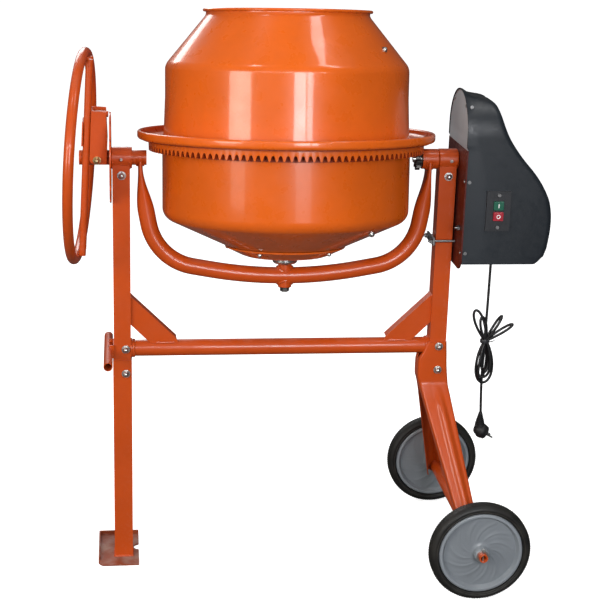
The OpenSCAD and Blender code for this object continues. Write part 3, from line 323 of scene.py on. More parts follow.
# ---------------------------------------------------------------- mesh tools
def arc(centre, radius, start, stop, steps=8):
    """Points on an arc; angles in degrees."""
    spots = []
    for i in range(steps + 1):
        turn = math.radians(start + (stop - start) * i / steps)
        spots.append((centre[0] + radius * math.cos(turn), centre[1] + radius * math.sin(turn)))
    return spots


def finish_piece(name, bm, look, body, stands_for=(), sharp=38.0):
    """Weld, mark the sharp edges, and hand the mesh over as a piece that rides on a body."""
    bmesh.ops.remove_doubles(bm, verts=bm.verts, dist=0.000004)
    bmesh.ops.recalc_face_normals(bm, faces=bm.faces)
    for edge in bm.edges:
        edge.smooth = len(edge.link_faces) != 2 or edge.calc_face_angle() < math.radians(sharp)
    for face in bm.faces:
        face.smooth = True
    mesh = bpy.data.meshes.new(name)
    bm.to_mesh(mesh)
    bm.free()
    made = bpy.data.objects.new(name, mesh)
    bpy.context.scene.collection.objects.link(made)
    mesh.materials.append(look)
    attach(made, body)
    if stands_for:
        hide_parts(*stands_for)
    return made


def bridge(bm, rings, loop=False, caps=True, round_ring=True):
    """Quads between neighbouring rings of points; loop joins the last ring to the first."""
    rows = [[bm.verts.new(p) for p in ring] for ring in rings]
    count = len(rows[0])
    pairs = list(zip(rows, rows[1:]))
    if loop:
        pairs.append((rows[-1], rows[0]))
    for a, b in pairs:
        for j in range(count if round_ring else count - 1):
            k = (j + 1) % count
            bm.faces.new((a[j], a[k], b[k], b[j]))
    if caps and not loop:
        bm.faces.new(rows[0][::-1])
        bm.faces.new(rows[-1])
    return rows


def revolve(bm, outline, place, steps=160, shape=None):
    """Turn a closed outline of (radius, height) about the third axis of place().

    shape(radius, height, step, turn) may move a point of the outline as it goes round.
    """
    rings = []
    for i in range(steps):
        turn = 2 * math.pi * i / steps
        ring = []
        for r, h in outline:
            if shape:
                r, h = shape(r, h, i, turn)
            ring.append(place(r * math.cos(turn), r * math.sin(turn), h))
        rings.append(ring)
    bridge(bm, rings, loop=True, caps=False)


def tube(bm, points, radius, sides=12, loop=False):
    """A round tube along points; radius is a number or a function of the point's index."""
    count = len(points)
    rings = []
    across = None
    for i, spot in enumerate(points):
        before = points[(i - 1) % count] if loop or i else points[0]
        after = points[(i + 1) % count] if loop or i < count - 1 else points[-1]
        ahead = (after - before).normalized()
        if across is None:
            across = ahead.orthogonal().normalized()
        across = (across - ahead * across.dot(ahead)).normalized()
        other = ahead.cross(across)
        size = radius(i) if callable(radius) else radius
        ring = []
        for j in range(sides):
            turn = 2 * math.pi * j / sides
            ring.append(spot + (across * math.cos(turn) + other * math.sin(turn)) * size)
        rings.append(ring)
    if loop:
        # the rings may come back turned, so the last one is matched to the nearest side of the first
        first = rings[0][0]
        shift = min(range(sides), key=lambda k: (rings[-1][k] - first).length)
        rings[-1] = rings[-1][shift:] + rings[-1][:shift]
    bridge(bm, rings, loop=loop)


def bead(bm, points, radius=2.6, loop=False):
    """A weld bead: a thin tube with ripples and an uneven width."""
    def size(i):
        ripple = 1.0 + 0.16 * math.sin(i * 1.9)
        uneven = 1.0 + 0.3 * noise.noise(points[i] * 90.0)
        return radius * MM * ripple * uneven
    tube(bm, points, size, 8, loop)


def ring_points(place, radius, steps, start=0.0, stop=360.0):
    """Points round the third axis of place(), on a full circle or an arc between two angles."""
    spots = []
    for i in range(steps if stop - start >= 360 else steps + 1):
        turn = math.radians(start + (stop - start) * i / steps)
        spots.append(place(radius * math.cos(turn), radius * math.sin(turn), 0))
    return spots


def line_points(a, b, steps):
    return [a.lerp(b, i / steps) for i in range(steps + 1)]


def about_x(x0, y0, z0):
    """A place() whose third axis is X, centred on a point in millimetres."""
    return lambda a, b, h: at(x0 + h, y0 + a, z0 + b)


def about_y(x0, y0, z0):
    """A place() whose third axis is Y, centred on a point in millimetres."""
    return lambda a, b, h: at(x0 + a, y0 + h, z0 + b)


# ---------------------------------------------------------------- drum
# Radii, and heights along the drum's axis from the tilting axis
SHEET = 2.5
DRUM_R = 286.0
SHAFT_HOLE_R = 19.5
FLOOR_R, FLOOR_Z = 96.0, -221.0
CONE_ANGLE = 25.2
# Centre and radius of the round bends at the foot of the wall and at the shoulder
KNEE = (256.0, -115.0, 30.0)
SHOULDER = (247.5, 199.5, 32.0)
SHOULDER_TURN = 37.5
FLANGE_R, FLANGE_Z = 343.0, 41.0
NECK_R = 187.0
MOUTH_Z = 334.5
# Bottom of the band of painted shade on the wall behind the ring gear
SHADE_BAND_Z = 14.0
# Ring gear: how far each of a tooth's twelve steps is cut up from the tips
GEAR_TEETH = 126
GEAR_IN_R, GEAR_OUT_R = 302.5, 317.4
TOOTH_TIP_Z, TOOTH_ROOT_Z = 17.7, 31.0
TOOTH_CUT = (0, 0, 2.5, 8, 10.8, 12, 12.3, 12, 10.8, 8, 2.5, 0)


def paint_gear_shade(made, chosen):
    """Give a darker paint, a painted shade, to the faces of a drum piece chosen by their radius and height."""
    made.data.materials.append(GEAR_SHADE_PAINT)
    back = TILT.inverted()
    for face in made.data.polygons:
        spot = back @ face.center
        if chosen(math.hypot(spot.x, spot.y) / MM, spot.z / MM):
            face.material_index = 1


def thick(path, amount=SHEET):
    """Close a path of (radius, height) into a sheet of even thickness on its left side."""
    inner = []
    for i, (r, h) in enumerate(path):
        before = path[max(i - 1, 0)]
        after = path[min(i + 1, len(path) - 1)]
        across, rise = after[0] - before[0], after[1] - before[1]
        run = math.hypot(across, rise)
        inner.append((r - amount * rise / run, h + amount * across / run))
    return path + inner[::-1]


def drum():
    """The lower shell, the ring gear, the upper shell with its rolled flange, and the mouth's lip."""
    bm = bmesh.new()
    low = [(SHAFT_HOLE_R, FLOOR_Z), (FLOOR_R - 6, FLOOR_Z)]
    low += arc((FLOOR_R - 3, FLOOR_Z + 20), 20, -90, CONE_ANGLE - 90, 5)
    low += arc(KNEE[:2], KNEE[2], CONE_ANGLE - 90, 0, 14)
    low += [(DRUM_R, -60), (DRUM_R, 0), (DRUM_R, SHADE_BAND_Z), (DRUM_R, FLANGE_Z - 4)]
    low += arc((DRUM_R + 4, FLANGE_Z - 4), 4, 180, 90, 5)
    low += [(FLANGE_R - 12, FLANGE_Z)]
    revolve(bm, thick(low), tilted, 192)
    made = finish_piece("drum_shell_lower", bm, PAINT, "drum", ("drum_lower",))
    # painted shade on the wall behind the ring gear, seen through the gaps between the teeth
    paint_gear_shade(made, lambda r, h: r > DRUM_R - 1 and h > SHADE_BAND_Z)

    bm = bmesh.new()
    gear = [(DRUM_R + 0.2, FLANGE_Z - 0.1), (DRUM_R + 0.2, TOOTH_ROOT_Z), (GEAR_IN_R, TOOTH_ROOT_Z)]
    gear += [(r, TOOTH_TIP_Z) for r in (GEAR_IN_R + 0.5, 304, 316, 317)]
    gear += [(GEAR_OUT_R, TOOTH_ROOT_Z), (GEAR_OUT_R, FLANGE_Z - 0.1)]

    def toothed(r, h, i, turn):
        return r, h + (TOOTH_CUT[i % len(TOOTH_CUT)] if h == TOOTH_TIP_Z else 0)

    revolve(bm, gear, tilted, len(TOOTH_CUT) * GEAR_TEETH, toothed)
    made = finish_piece("ring_gear_cast", bm, PAINT, "drum", ("ring_gear",), 30)
    # painted shade on the tooth faces below the roots, apart from the outer face
    paint_gear_shade(made, lambda r, h: r < GEAR_OUT_R - 0.3 and h < TOOTH_ROOT_Z)

    bm = bmesh.new()
    base = FLANGE_Z + 2.6
    wall_r = DRUM_R - SHEET - 0.6
    rim = [(wall_r - SHEET, base), (FLANGE_R - 8, base)]
    rim += arc((FLANGE_R - 7, base + 7), 7, -90, 0, 6)
    rim += [(FLANGE_R, base + 11)]
    rim += arc((FLANGE_R - 4.5, base + 15), 4.5, 0, 180, 10)
    rim += arc((FLANGE_R - 15, base + 11), 6, 0, -90, 6)
    rim += [(wall_r + 9, base + 5)]
    rim += arc((wall_r + 7, base + 12), 7, -90, -180, 6)
    wall = [(DRUM_R - 6.5, SHOULDER[1] - 60)] + arc(SHOULDER[:2], SHOULDER[2], 0, SHOULDER_TURN, 18)
    wall += [(NECK_R + 2, MOUTH_Z - 13.5), (NECK_R, MOUTH_Z - 9), (NECK_R, MOUTH_Z - 3)]
    back = thick(wall)[len(wall):]
    revolve(bm, rim + wall + back, tilted, 192)
    finish_piece("drum_shell_upper", bm, PAINT, "drum", ("drum_upper",))

    bm = bmesh.new()
    lip = [(NECK_R - SHEET, MOUTH_Z - 2.9), (NECK_R, MOUTH_Z - 2.9)]
    lip += arc((NECK_R + 3.6, MOUTH_Z - 0.4), 3.4, -150, 120, 12)
    lip += [(NECK_R - SHEET, MOUTH_Z + 0.4)]
    revolve(bm, lip, tilted, 160)
    finish_piece("drum_mouth_lip", bm, PAINT, "drum", ("mouth_ring",))


# ---------------------------------------------------------------- yoke
YOKE_R = 19.5
YOKE_DROP = 275.0
# The shallow bow under the drum, the straight run after it, and the bend up to the arm
BOW_R, BOW_END = 1013.0, 9.95
BOW_RUN = 42.0
BEND_R, ARM_ANGLE = 125.0, 79.2
# Where the arm starts to be pinched flat, and the flat strap that meets the trunnion
PINCH_Z, PINCH_LENGTH = -112.0, 118.0
STRAP_X, STRAP_HALF_T, STRAP_HALF_W = 336.5, 5.5, 24.0


def yoke_stations():
    """Stations of the right half, from the middle out: x, z, direction, half thickness, half width."""
    def turned(cx, cz, r, angle):
        a = math.radians(angle)
        return [cx + r * math.sin(a), cz - r * math.cos(a), angle, YOKE_R, YOKE_R]

    out = [turned(0, BOW_R - YOKE_DROP, BOW_R, BOW_END * i / 10) for i in range(11)]
    tip = out[-1]
    a = math.radians(BOW_END)
    start = (tip[0] + BOW_RUN * math.cos(a), tip[1] + BOW_RUN * math.sin(a))
    centre = (start[0] - BEND_R * math.sin(a), start[1] + BEND_R * math.cos(a))
    out += [turned(*centre, BEND_R, BOW_END + (ARM_ANGLE - BOW_END) * i / 20) for i in range(21)]
    bend = out[-1]
    a = math.radians(ARM_ANGLE)
    reach = (PINCH_Z - bend[1]) / math.sin(a)
    arm = (bend[0] + reach * math.cos(a), PINCH_Z)
    # an even curve from the end of the arm to the flattened strap, which stands upright
    low = (arm[0] - 14 / math.tan(a), PINCH_Z - 14)
    for i in range(19):
        t = i / 18
        eased, pull_in, pull_out = t * t * (3 - 2 * t), t * (1 - t) ** 2, t * t * (t - 1)
        x = low[0] + (STRAP_X - low[0]) * eased + PINCH_LENGTH * math.cos(a) * pull_in
        z = low[1] + PINCH_LENGTH * eased + PINCH_LENGTH * (math.sin(a) * pull_in + pull_out)
        flat = min(1.0, 1.15 * t)
        flat = flat * flat * (3 - 2 * flat)
        thin = YOKE_R + (STRAP_HALF_T - YOKE_R) * flat
        wide = YOKE_R + (STRAP_HALF_W - YOKE_R) * flat
        out.append([x, z, ARM_ANGLE + (90 - ARM_ANGLE) * eased, thin, wide])
    return out


def yoke():
    """The bent tube, whose section turns from round to a flattened strap at each end."""
    half = yoke_stations()
    path = [[-x, z, -angle, t, w] for x, z, angle, t, w in half[:0:-1]] + half
    rings = []
    for x, z, angle, thin, wide in path:
        a = math.radians(angle)
        flat = 1.0 - (thin / wide)
        power = 1.0 - 0.45 * flat
        ring = []
        for j in range(40):
            turn = 2 * math.pi * j / 40
            c, s = math.cos(turn), math.sin(turn)
            c = math.copysign(abs(c) ** power, c)
            s = math.copysign(abs(s) ** power, s)
            ring.append(tilted(x - thin * c * math.sin(a), -wide * s, z + thin * c * math.cos(a)))
        rings.append(ring)
    bm = bmesh.new()
    bridge(bm, rings)
    finish_piece("yoke_bow", bm, FRAME_PAINT, "yoke", ("yoke_tube",))


# ---------------------------------------------------------------- wheel fork
LEG_X, HALF_LEG = 380.0, 20.0
AXLE_X = 450.0
FORK_FACE = HALF_LEG + 3.6
FORK_BEND_Z = 446.0
# Where a leg of the fork ends, out from the middle and up from the ground
FORK_FOOT = (240.6, AXLE_Z - 16.0)
FORK_SPLAY = math.atan2(FORK_FOOT[0] - FORK_FACE, FORK_BEND_Z - FORK_FOOT[1])
FORK_SHEET = 3.0


def fork_section(x0, x1, left_depth, right_depth, ridge):
    """Half-closed channel section as (x, height) with a rounded ridge in the middle."""
    corner = 6.0
    middle, half = x0 + 0.56 * (x1 - x0), min(15.0, 0.28 * (x1 - x0))
    section = [(x0, -left_depth), (x0, -left_depth * 0.5 - corner * 0.5)]
    section += arc((x0 + corner, -corner), corner, 180, 90, 5)
    section += [(middle - half - 1, 0.0)]
    for i in range(13):
        u = -1 + i / 6
        section.append((middle + half * u, ridge * math.cos(u * math.pi / 2) ** 2))
    section += [(middle + half + 1, 0.0)]
    section += arc((x1 - corner, -corner), corner, 90, 0, 5)
    section += [(x1, -right_depth * 0.5 - corner * 0.5), (x1, -right_depth)]
    return section


def fork_sections():
    """Each section with the point where it sits (y, z) and how far its face is turned up."""
    # the flat plate on the upright: height, left side, right side, depth of its left edge
    plate = [(554, 355, 402, 7), (538, 349, 403, 7), (524, 343, 404, 8), (514, 337, 404.5, 14),
             (504, 334.5, 405, 22), (490, 334, 406, 23), (474, 334, 407.5, 23), (462, 334.5, 409, 22)]
    out = []
    for z, x0, x1, depth in plate:
        out.append((FORK_FACE, z, 0.0, fork_section(x0, x1, depth, 7, 0.0)))
    for i in range(5):
        t = i / 4
        out.append((FORK_FACE + 3.2 * t * t, FORK_BEND_Z + 8 - 10 * t, FORK_SPLAY * t,
                    fork_section(337 + 4 * t, 410 + t, 21, 7 + 11 * t, 0.2)))
    for i in range(1, 21):
        t = i / 20
        y = FORK_FACE + (FORK_FOOT[0] - FORK_FACE) * t
        z = FORK_BEND_Z + (FORK_FOOT[1] - FORK_BEND_Z) * t
        ridge = 0.2 + 8.5 * min(1.0, max(0.0, t - 0.04) * 9) * min(1.0, (1.02 - t) * 12)
        out.append((y, z, FORK_SPLAY, fork_section(341 + 89 * t, 411 + 59 * t, 20, 19, ridge)))
    return out


def fork():
    """Two pressed channel legs with a ring round the axle at each foot."""
    bm = bmesh.new()
    ring = [(14.2, -3.5), (20, -3.5), (21, -2.5), (21, 2.5), (20, 3.5), (14.2, 3.5)]
    for side in (-1, 1):
        outer = []
        inner = []
        for y, z, turned, section in fork_sections():
            c, s = math.cos(turned), math.sin(turned)
            outer.append([at(x, side * (y + h * c), z + h * s) for x, h in section])
            closed = thick(section, -FORK_SHEET)
            back = closed[len(section):][::-1]
            inner.append([at(x, side * (y + h * c), z + h * s) for x, h in back])
        rings = [a + b[::-1] for a, b in zip(outer, inner)]
        bridge(bm, rings)
        revolve(bm, ring, about_y(AXLE_X, side * 237.5, AXLE_Z), 48)
    finish_piece("fork_pressing", bm, FRAME_PAINT, "frame", ("wheel_fork",))


# ---------------------------------------------------------------- wheels
WHEEL_R = 121.0
TYRE_HALF = 19.0
VANES = 11
VANE_TWIST = 55.0 / 360.0
VANE_FROM_R, VANE_TO_R = 24, 86


def swirled(r, h, i, turn):
    """Thin curved vanes between the hub and the rim of a disc."""
    if VANE_FROM_R < r < VANE_TO_R:
        t = (r - VANE_FROM_R) / (VANE_TO_R - VANE_FROM_R)
        fade = min(1.0, t * 5, (1 - t) * 6)
        spot = (VANES * (turn / (2 * math.pi) + VANE_TWIST * t)) % 1.0
        vane = max(0.0, 1 - abs(spot - 0.5) / 0.13)
        dish = 1.3 * math.sin(math.pi * t) * math.cos(2 * math.pi * (spot - 0.62))
        h += math.copysign(fade * (1.5 * vane * vane * (3 - 2 * vane) + 0.5 * dish), h)
    return r, h


def treaded(r, h, i, turn):
    """Cross ribs on the tread, fading on to the shoulder."""
    if r > WHEEL_R - 2.5 and i % 2:
        r -= 1.3
    elif WHEEL_R - 9 < r and i % 2:
        r -= 0.7
    return r, h


def wheel(name, outward):
    """A moulded disc and its tyre; outward is the sign of Y on the wheel's outer side."""
    hub = Vector(JOINTS[name + "_wheel_spin"]["pos_m"])
    body = name + "_wheel"

    def place(a, b, h):
        return hub + Vector((a * MM, outward * h * MM, b * MM))

    disc = [(10.05, -26), (15, -26), (17, -24), (19, -13), (23, -10.5)]
    disc += [(26 + 3.75 * i, -10 + 0.25 * i) for i in range(17)]
    disc += [(88, -9), (90.5, -14), (92, -16.8), (96.5, -17.3), (99, -15.5), (100, -12)]
    disc += [(100, 12), (99, 15.5), (96.5, 17.3), (92, 16.8), (90.5, 14), (88, 9)]
    disc += [(86 - 3.75 * i, 6 + 0.25 * i) for i in range(17)]
    disc += [(23, 11), (19, 13), (17, 28), (15, 30), (10.05, 30)]
    bm = bmesh.new()
    revolve(bm, disc, place, 264, swirled)
    finish_piece(body + "_moulding", bm, WHEEL, body, (body + "_disc",), 50)
    w = TYRE_HALF
    half = [(100.2, 12), (101, 16.5), (102.5, w - 0.5), (104.5, w), (106, w - 0.9), (107.5, w)]
    half += [(111, w + 0.2), (113.5, w - 0.8), (116, w - 2.5), (118.6, w - 5)]
    half += [(WHEEL_R - 1, w - 7.5), (WHEEL_R, w - 9)]
    # two grooves round the tread on each side of its middle
    half += [(WHEEL_R, 8.2), (WHEEL_R - 2, 7.6), (WHEEL_R - 2, 6.6), (WHEEL_R, 6.0)]
    half += [(WHEEL_R, 1.4), (WHEEL_R - 2, 0.8)]
    outline = half + [(r, -h) for r, h in half[::-1]]
    bm = bmesh.new()
    revolve(bm, outline, place, 240, treaded)
    finish_piece(name + "_tyre_ribbed", bm, TYRE, body, (name + "_tyre",), 50)


# ---------------------------------------------------------------- handwheel
RIM_R, RIM_TUBE_R = 235, 11.5
RIM_X = -38
RIM_YAW = math.radians(4.9)


def handwheel():
    """The rim, which stands a little askew on its spokes."""
    bm = bmesh.new()
    c, s = math.cos(RIM_YAW), math.sin(RIM_YAW)
    rim = arc((RIM_R, 0), RIM_TUBE_R, 0, 345, 23)
    revolve(bm, rim, lambda a, b, h: leaned(RIM_X + h * c + a * s, a * c - h * s, b), 144)
    finish_piece("handwheel_rim", bm, FRAME_PAINT, "handwheel", ("handwheel_ring",))


# ---------------------------------------------------------------- motor cover
COVER_X = 407.6
COVER_HALF = 97.0
COVER_ARCH_Z = 1070.0
COVER_ROUND = 15.0
# Insets of the columns of the outer face from the side of the cover, past the rounded corner
COVER_INSETS = (22, 32, 44, 56, 70, 84, 96.9)
# Side view of the outer face as (height, distance from the middle), in three runs: the stepped foot,
# the smooth bulge and shoulder, and the crown, which is round between CROWN_FROM and CROWN_TO
COVER_FOOT = ((769, 588), (773, 593), (778, 597.5), (782, 601), (786, 606), (792, 608), (798, 610))
COVER_BULGE = ((804, 612), (828, 615.3), (854, 617.6), (880, 617.3), (900, 614.6), (920, 609.6),
               (939.6, 600.5), (964, 586), (988, 567.5), (1014, 544), (1040, 523.5), (1066, 506),
               (1090, 494.7), (1110, 487.9), (1130.6, 480.3))
COVER_CROWN = ((1140, 474.6), (1149, 455), (1153, 426), (1167.5, 411))
COVER_STOPS = COVER_FOOT + COVER_BULGE + COVER_CROWN
CROWN = (454.0, 1121.0, 28.0)
CROWN_FROM, CROWN_TO = COVER_BULGE[-1][0], 1148.9


def cover_face(z):
    """How far the cover's outer face stands from the middle of the machine at a height."""
    if CROWN_FROM < z < CROWN_TO:
        return CROWN[0] + math.sqrt(CROWN[2] ** 2 - (z - CROWN[1]) ** 2)
    last = len(COVER_STOPS) - 1
    k = next((i for i in range(1, last) if z <= COVER_STOPS[i][0]), last)
    (z0, x0), (z1, x1) = COVER_STOPS[k - 1:k + 1]
    t = min(1.0, (z - z0) / (z1 - z0))
    if z0 < COVER_BULGE[0][0] or z1 > CROWN_FROM:
        return x0 + (x1 - x0) * t
    # a smooth curve through the stops
    before, after = COVER_STOPS[k - 2], COVER_STOPS[k + 1]
    pull_in = (x1 - before[1]) / (z1 - before[0]) * (z1 - z0)
    pull_out = (after[1] - x0) / (after[0] - z0) * (z1 - z0)
    eased = t * t * (3 - 2 * t)
    return x0 + (x1 - x0) * eased + pull_in * t * (1 - t) ** 2 + pull_out * t * t * (t - 1)


def cover():
    """The moulded cover: upright sides, a round top and a bulging outer face, as a shell with a wall."""
    heights = [769, 774, 778, 782, 786, 790, 792, 794, 796, 798, 801, 804, 810, 818]
    heights += [828 + i * 7 for i in range(34)] + [1066]
    insets = [0.0] * 3
    insets += [COVER_ROUND * (1 - math.cos(math.radians(a))) for a in range(0, 91, 15)]
    insets += COVER_INSETS
    columns = []
    for k, inset in enumerate(insets):
        column = []
        half = COVER_HALF - inset
        outline = [(-half, z) for z in heights]
        outline += [(-half * math.cos(math.radians(a)), COVER_ARCH_Z + half * math.sin(math.radians(a)))
                    for a in range(0, 181, 5)]
        outline += [(half, z) for z in heights[::-1]]
        for y, z in outline:
            face = cover_face(z)
            # above the mounting plate the rim laps over the inner plate
            rim = COVER_X - 4.5 * min(1.0, max(0.0, (z - 1040) / 4))
            corner = min(COVER_ROUND, 0.8 * (face - rim))
            if k == 0:
                x = rim
            elif k < 3:
                x = rim + (face - corner - rim) * k / 3
            elif inset < COVER_ROUND:
                turned = 1 - inset / COVER_ROUND
                x = face - corner + corner * math.sqrt(1 - turned * turned)
            else:
                x = face
            column.append(at(x, y, z))
        columns.append(column)
    bm = bmesh.new()
    rows = bridge(bm, columns, caps=False, round_ring=False)
    floor = [row[0] for row in rows] + [row[-1] for row in rows[::-1]]
    bm.faces.new(floor)
    made = finish_piece("cover_shell", bm, COVER, "frame", ("motor_cover",), 50)
    wall = made.modifiers.new("wall", "SOLIDIFY")
    wall.thickness = 3 * MM
    wall.offset = -1.0
    edge = made.modifiers.new("edge", "BEVEL")
    edge.width = 1.2 * MM
    edge.segments = 2
    edge.limit_method = "ANGLE"
    edge.angle_limit = math.radians(50)


# ---------------------------------------------------------------- cord and plug
CORD_R = 3.2
CORD = (490.0, -50.0)
CORD_TOP_Z, CORD_END_Z = 789, 378
TIE_Z = 565.0
PLUG_Z = 335.0
# Tip of each turn from the tie (right, up), half width, and turn of its plane in degrees
CORD_LEAVES = ((-29, 77, 13, 8), (-12, 60, 10, -20), (36, 62, 11, 86), (64, 41, 11, 82),
               (1, -107, 27, 10), (-2, -93, 21, -20), (3, -80, 14, 26), (-6, -99, 24, 50))


def cord_leaf(run, rise, width, turn, steps=40):
    """One turn of the coil: out from the tie to a tip at (run, rise) and back, in a turned plane."""
    length = math.hypot(run, rise)
    flat = math.cos(turn) * width / length
    spots = []
    for i in range(steps + 1):
        a = 2 * math.pi * (0.02 + 0.96 * i / steps)
        out = (1 - math.cos(a)) / 2
        side = math.sin(a) * (0.3 + 0.7 * out ** 0.6)
        x = CORD[0] + run * out - rise * flat * side
        z = TIE_Z + rise * out + run * flat * side
        spots.append(at(x, CORD[1] + width * math.sin(turn) * side, z))
    return spots


def cord():
    """The straight drop, the tail to the plug, the turns of the coil, and the tie round them."""
    bm = bmesh.new()
    drop = []
    for i in range(25):
        t = i / 24
        z = CORD_TOP_Z - (CORD_TOP_Z - TIE_Z) * t
        drop.append(at(CORD[0] - 3.0 * t * t, CORD[1] + 1.2 * math.sin(t * 4 + 1), z))
    tube(bm, drop, CORD_R * MM, 14)
    tail = []
    for i in range(25):
        t = i / 24
        z = TIE_Z - (TIE_Z - CORD_END_Z) * t
        tail.append(at(CORD[0] - 3.0 * math.sin(t * math.pi), CORD[1] + 1.5 * math.sin(t * 5), z))
    tube(bm, tail, CORD_R * MM, 14)
    for run, rise, width, turn in CORD_LEAVES:
        tube(bm, cord_leaf(run, rise, width, math.radians(turn)), CORD_R * MM, 14)
    finish_piece("cord_run", bm, CORD_LOOK, "frame", ("power_cord",))

    bm = bmesh.new()
    band = [(8.5, -4), (10.8, -4.5), (11.6, -3), (11.6, 3), (10.8, 4.5), (8.5, 4)]
    revolve(bm, band, lambda a, b, h: at(CORD[0] - 2 + a, CORD[1] + b * 0.85, TIE_Z + h), 40)
    end = [at(CORD[0] + 8 + 3 * i, CORD[1] - 7 - i, TIE_Z - 1 + 1.2 * i) for i in range(5)]
    tube(bm, end, 1.2 * MM, 8)
    finish_piece("cord_band", bm, BLACK, "frame", ("cord_tie",))


def plug():
    """The plug hangs askew from its ribbed cable relief."""
    bm = bmesh.new()
    relief = [(4.1, 46)]
    for i in range(7):
        z = 44 - 4.2 * i
        r = 5.0 + 1.1 * i
        relief += [(r, z), (r, z - 2.4), (r - 1.3, z - 2.7), (r - 1.3, z - 3.9)]
    relief += [(12.4, 13), (13, 2), (4.1, 2)]
    revolve(bm, relief, lambda a, b, h: at(CORD[0] + a, CORD[1] + b, PLUG_Z + h), 32)
    lay = math.radians(120)
    c, s = math.cos(lay), math.sin(lay)

    def along(a, b, h):
        return at(CORD[0] + a * c + h * s, CORD[1] + b, PLUG_Z + h * c - a * s)

    body = [(0.2, -13), (8, -12.5), (12, -10), (14.5, -6), (16, -1), (18, 1), (18.6, 3), (18.6, 9)]
    body += [(18, 11), (17, 12), (17, 17), (16, 18), (0.2, 18)]
    revolve(bm, body, along, 48)
    finish_piece("plug_moulding", bm, CORD_LOOK, "frame", ("plug",))
    bm = bmesh.new()
    for side in (-9.5, 9.5):
        tube(bm, [along(0, side, 17), along(0, side, 35), along(0, side, 36.4), along(0, side, 37)],
             lambda i: (2.4, 2.4, 1.8, 0.8)[i] * MM, 16)
    finish_piece("plug_pins", bm, ZINC, "frame")


# ---------------------------------------------------------------- switch marks
def marks():
    """The generic bar and ring on the two push buttons, which ride on their buttons."""
    for button in ("start_button", "stop_button"):
        lo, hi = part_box(button)
        middle = Vector(((lo[0] + hi[0]) / 2, lo[1], (lo[2] + hi[2]) / 2))

        def place(a, b, h):
            return middle + Vector((a * MM, h * MM, b * MM))

        bm = bmesh.new()
        if button == "start_button":
            rings = []
            for h, w, tall in ((0.3, 1.1, 4.6), (-0.35, 1.1, 4.6), (-0.5, 0.85, 4.35)):
                corners = ((-w, -tall), (w, -tall), (w, tall), (-w, tall))
                rings.append([place(a, b, h) for a, b in corners])
            bridge(bm, rings)
        else:
            ring = [(3.1, 0.3), (4.8, 0.3), (4.8, -0.35), (4.5, -0.5), (3.4, -0.5), (3.1, -0.35)]
            revolve(bm, ring, place, 40)
        finish_piece(button + "_mark", bm, WHITE, button)


# ---------------------------------------------------------------- welds
CROSSBAR_Z = 540
COLLAR_STEPS = 44


def frame_welds():
    bm = bmesh.new()
    for side in (-1, 1):
        # the crossbar's collars on the uprights, and the corner braces
        face = side * (LEG_X - HALF_LEG)
        bead(bm, ring_points(about_x(face - side * 7.5, 0, CROSSBAR_Z), 20.2, 44), 2.2, True)
        bead(bm, ring_points(about_x(face - side * 1.2, 0, CROSSBAR_Z), 22.0, 44), 2.0, True)
        brace_x = face - side * 0.6
        for y in (-HALF_LEG + 6.5, HALF_LEG - 4):
            bead(bm, line_points(at(brace_x, y, 604), at(brace_x, y, 670), 24), 2.2)
        for y in (-13.4, 15.0):
            bead(bm, line_points(at(side * 258, y, 557.5), at(side * 300, y, 557.0), 18), 2.0)
    # the bearing housings, on both faces of each upright
    for x in (-399.6, -360.4, 360.4, 399.6):
        bead(bm, ring_points(about_x(x, 0, TRUNNION.z / MM), 24.8, 30, 195, 345), 1.8)
    # the stand leg on its foot plate
    corners = [(-402, -22.4), (-358, -22.4), (-358, 22.4), (-402, 22.4)]
    for a, b in zip(corners, corners[1:] + corners[:1]):
        bead(bm, line_points(at(*a, 5), at(*b, 5), 18), 2.6)
    for side in (-1, 1):
        # the fork's rings, and the tow handle's bracket
        for y in (241.3, 233.7):
            bead(bm, ring_points(about_y(AXLE_X, side * y, AXLE_Z), 14.8, 36), 2.0, True)
        bead(bm, line_points(at(-400.3, side * 24, 524), at(-400.3, side * 24, 555), 14), 1.8)
    finish_piece("frame_welds", bm, FRAME_PAINT, "frame")


def saddle(radius, side, lift):
    """A ring round the pivot housing where it meets the top (side 1) or the bottom (-1) of the tube."""
    spots = []
    for i in range(COLLAR_STEPS):
        turn = 2 * math.pi * i / COLLAR_STEPS
        y = radius * math.sin(turn)
        z = side * (math.sqrt(YOKE_R ** 2 - y * y) + lift) - YOKE_DROP
        spots.append(tilted(radius * math.cos(turn), y, z))
    return spots


def yoke_welds():
    bm = bmesh.new()
    for x in (STRAP_X - 7, STRAP_X + 7):
        bead(bm, ring_points(lambda a, b, h: tilted(x, a, b), 23.8, 36, 190, 350), 2.2)
        bead(bm, ring_points(lambda a, b, h: tilted(-x, a, b), 17.6, 36, 180, 360), 2.2)
    bead(bm, saddle(17.2, 1, 0.6), 3.2, True)
    bead(bm, saddle(17.0, -1, 0.4), 2.8, True)
    finish_piece("yoke_welds", bm, FRAME_PAINT, "yoke")


# ---------------------------------------------------------------- stage, lights, camera
def stage():
    """A floor that looks white to the camera but lights the machine like a grey workshop floor."""
    bpy.ops.mesh.primitive_plane_add(size=90)
    floor = bpy.context.object
    floor.name = "floor"
    n = Nodes("floor_paint")
    seen = n.node("ShaderNodeLightPath").outputs["Is Camera Ray"]
    pale = n.mix(n.noise(3.0), rgb(0.88, 0.88, 0.88), rgb(0.9, 0.9, 0.9))
    n.put(n.shader.inputs["Base Color"], n.mix(seen, rgb(0.08, 0.075, 0.07), pale))
    n.put(n.shader.inputs["Roughness"], 0.8)
    n.put(n.shader.inputs["Emission Color"], rgb(1.0, 1.0, 1.0))
    n.put(n.shader.inputs["Emission Strength"], n.math("MULTIPLY", seen, 0.72))
    floor.data.materials.append(n.material)


AMBIENT_LEFT = 0.69
AMBIENT_RIGHT = 0.26
MIRRORED_ROOM = 0.16
AMBIENT_TINT = rgb(0.97, 0.98, 1.0)


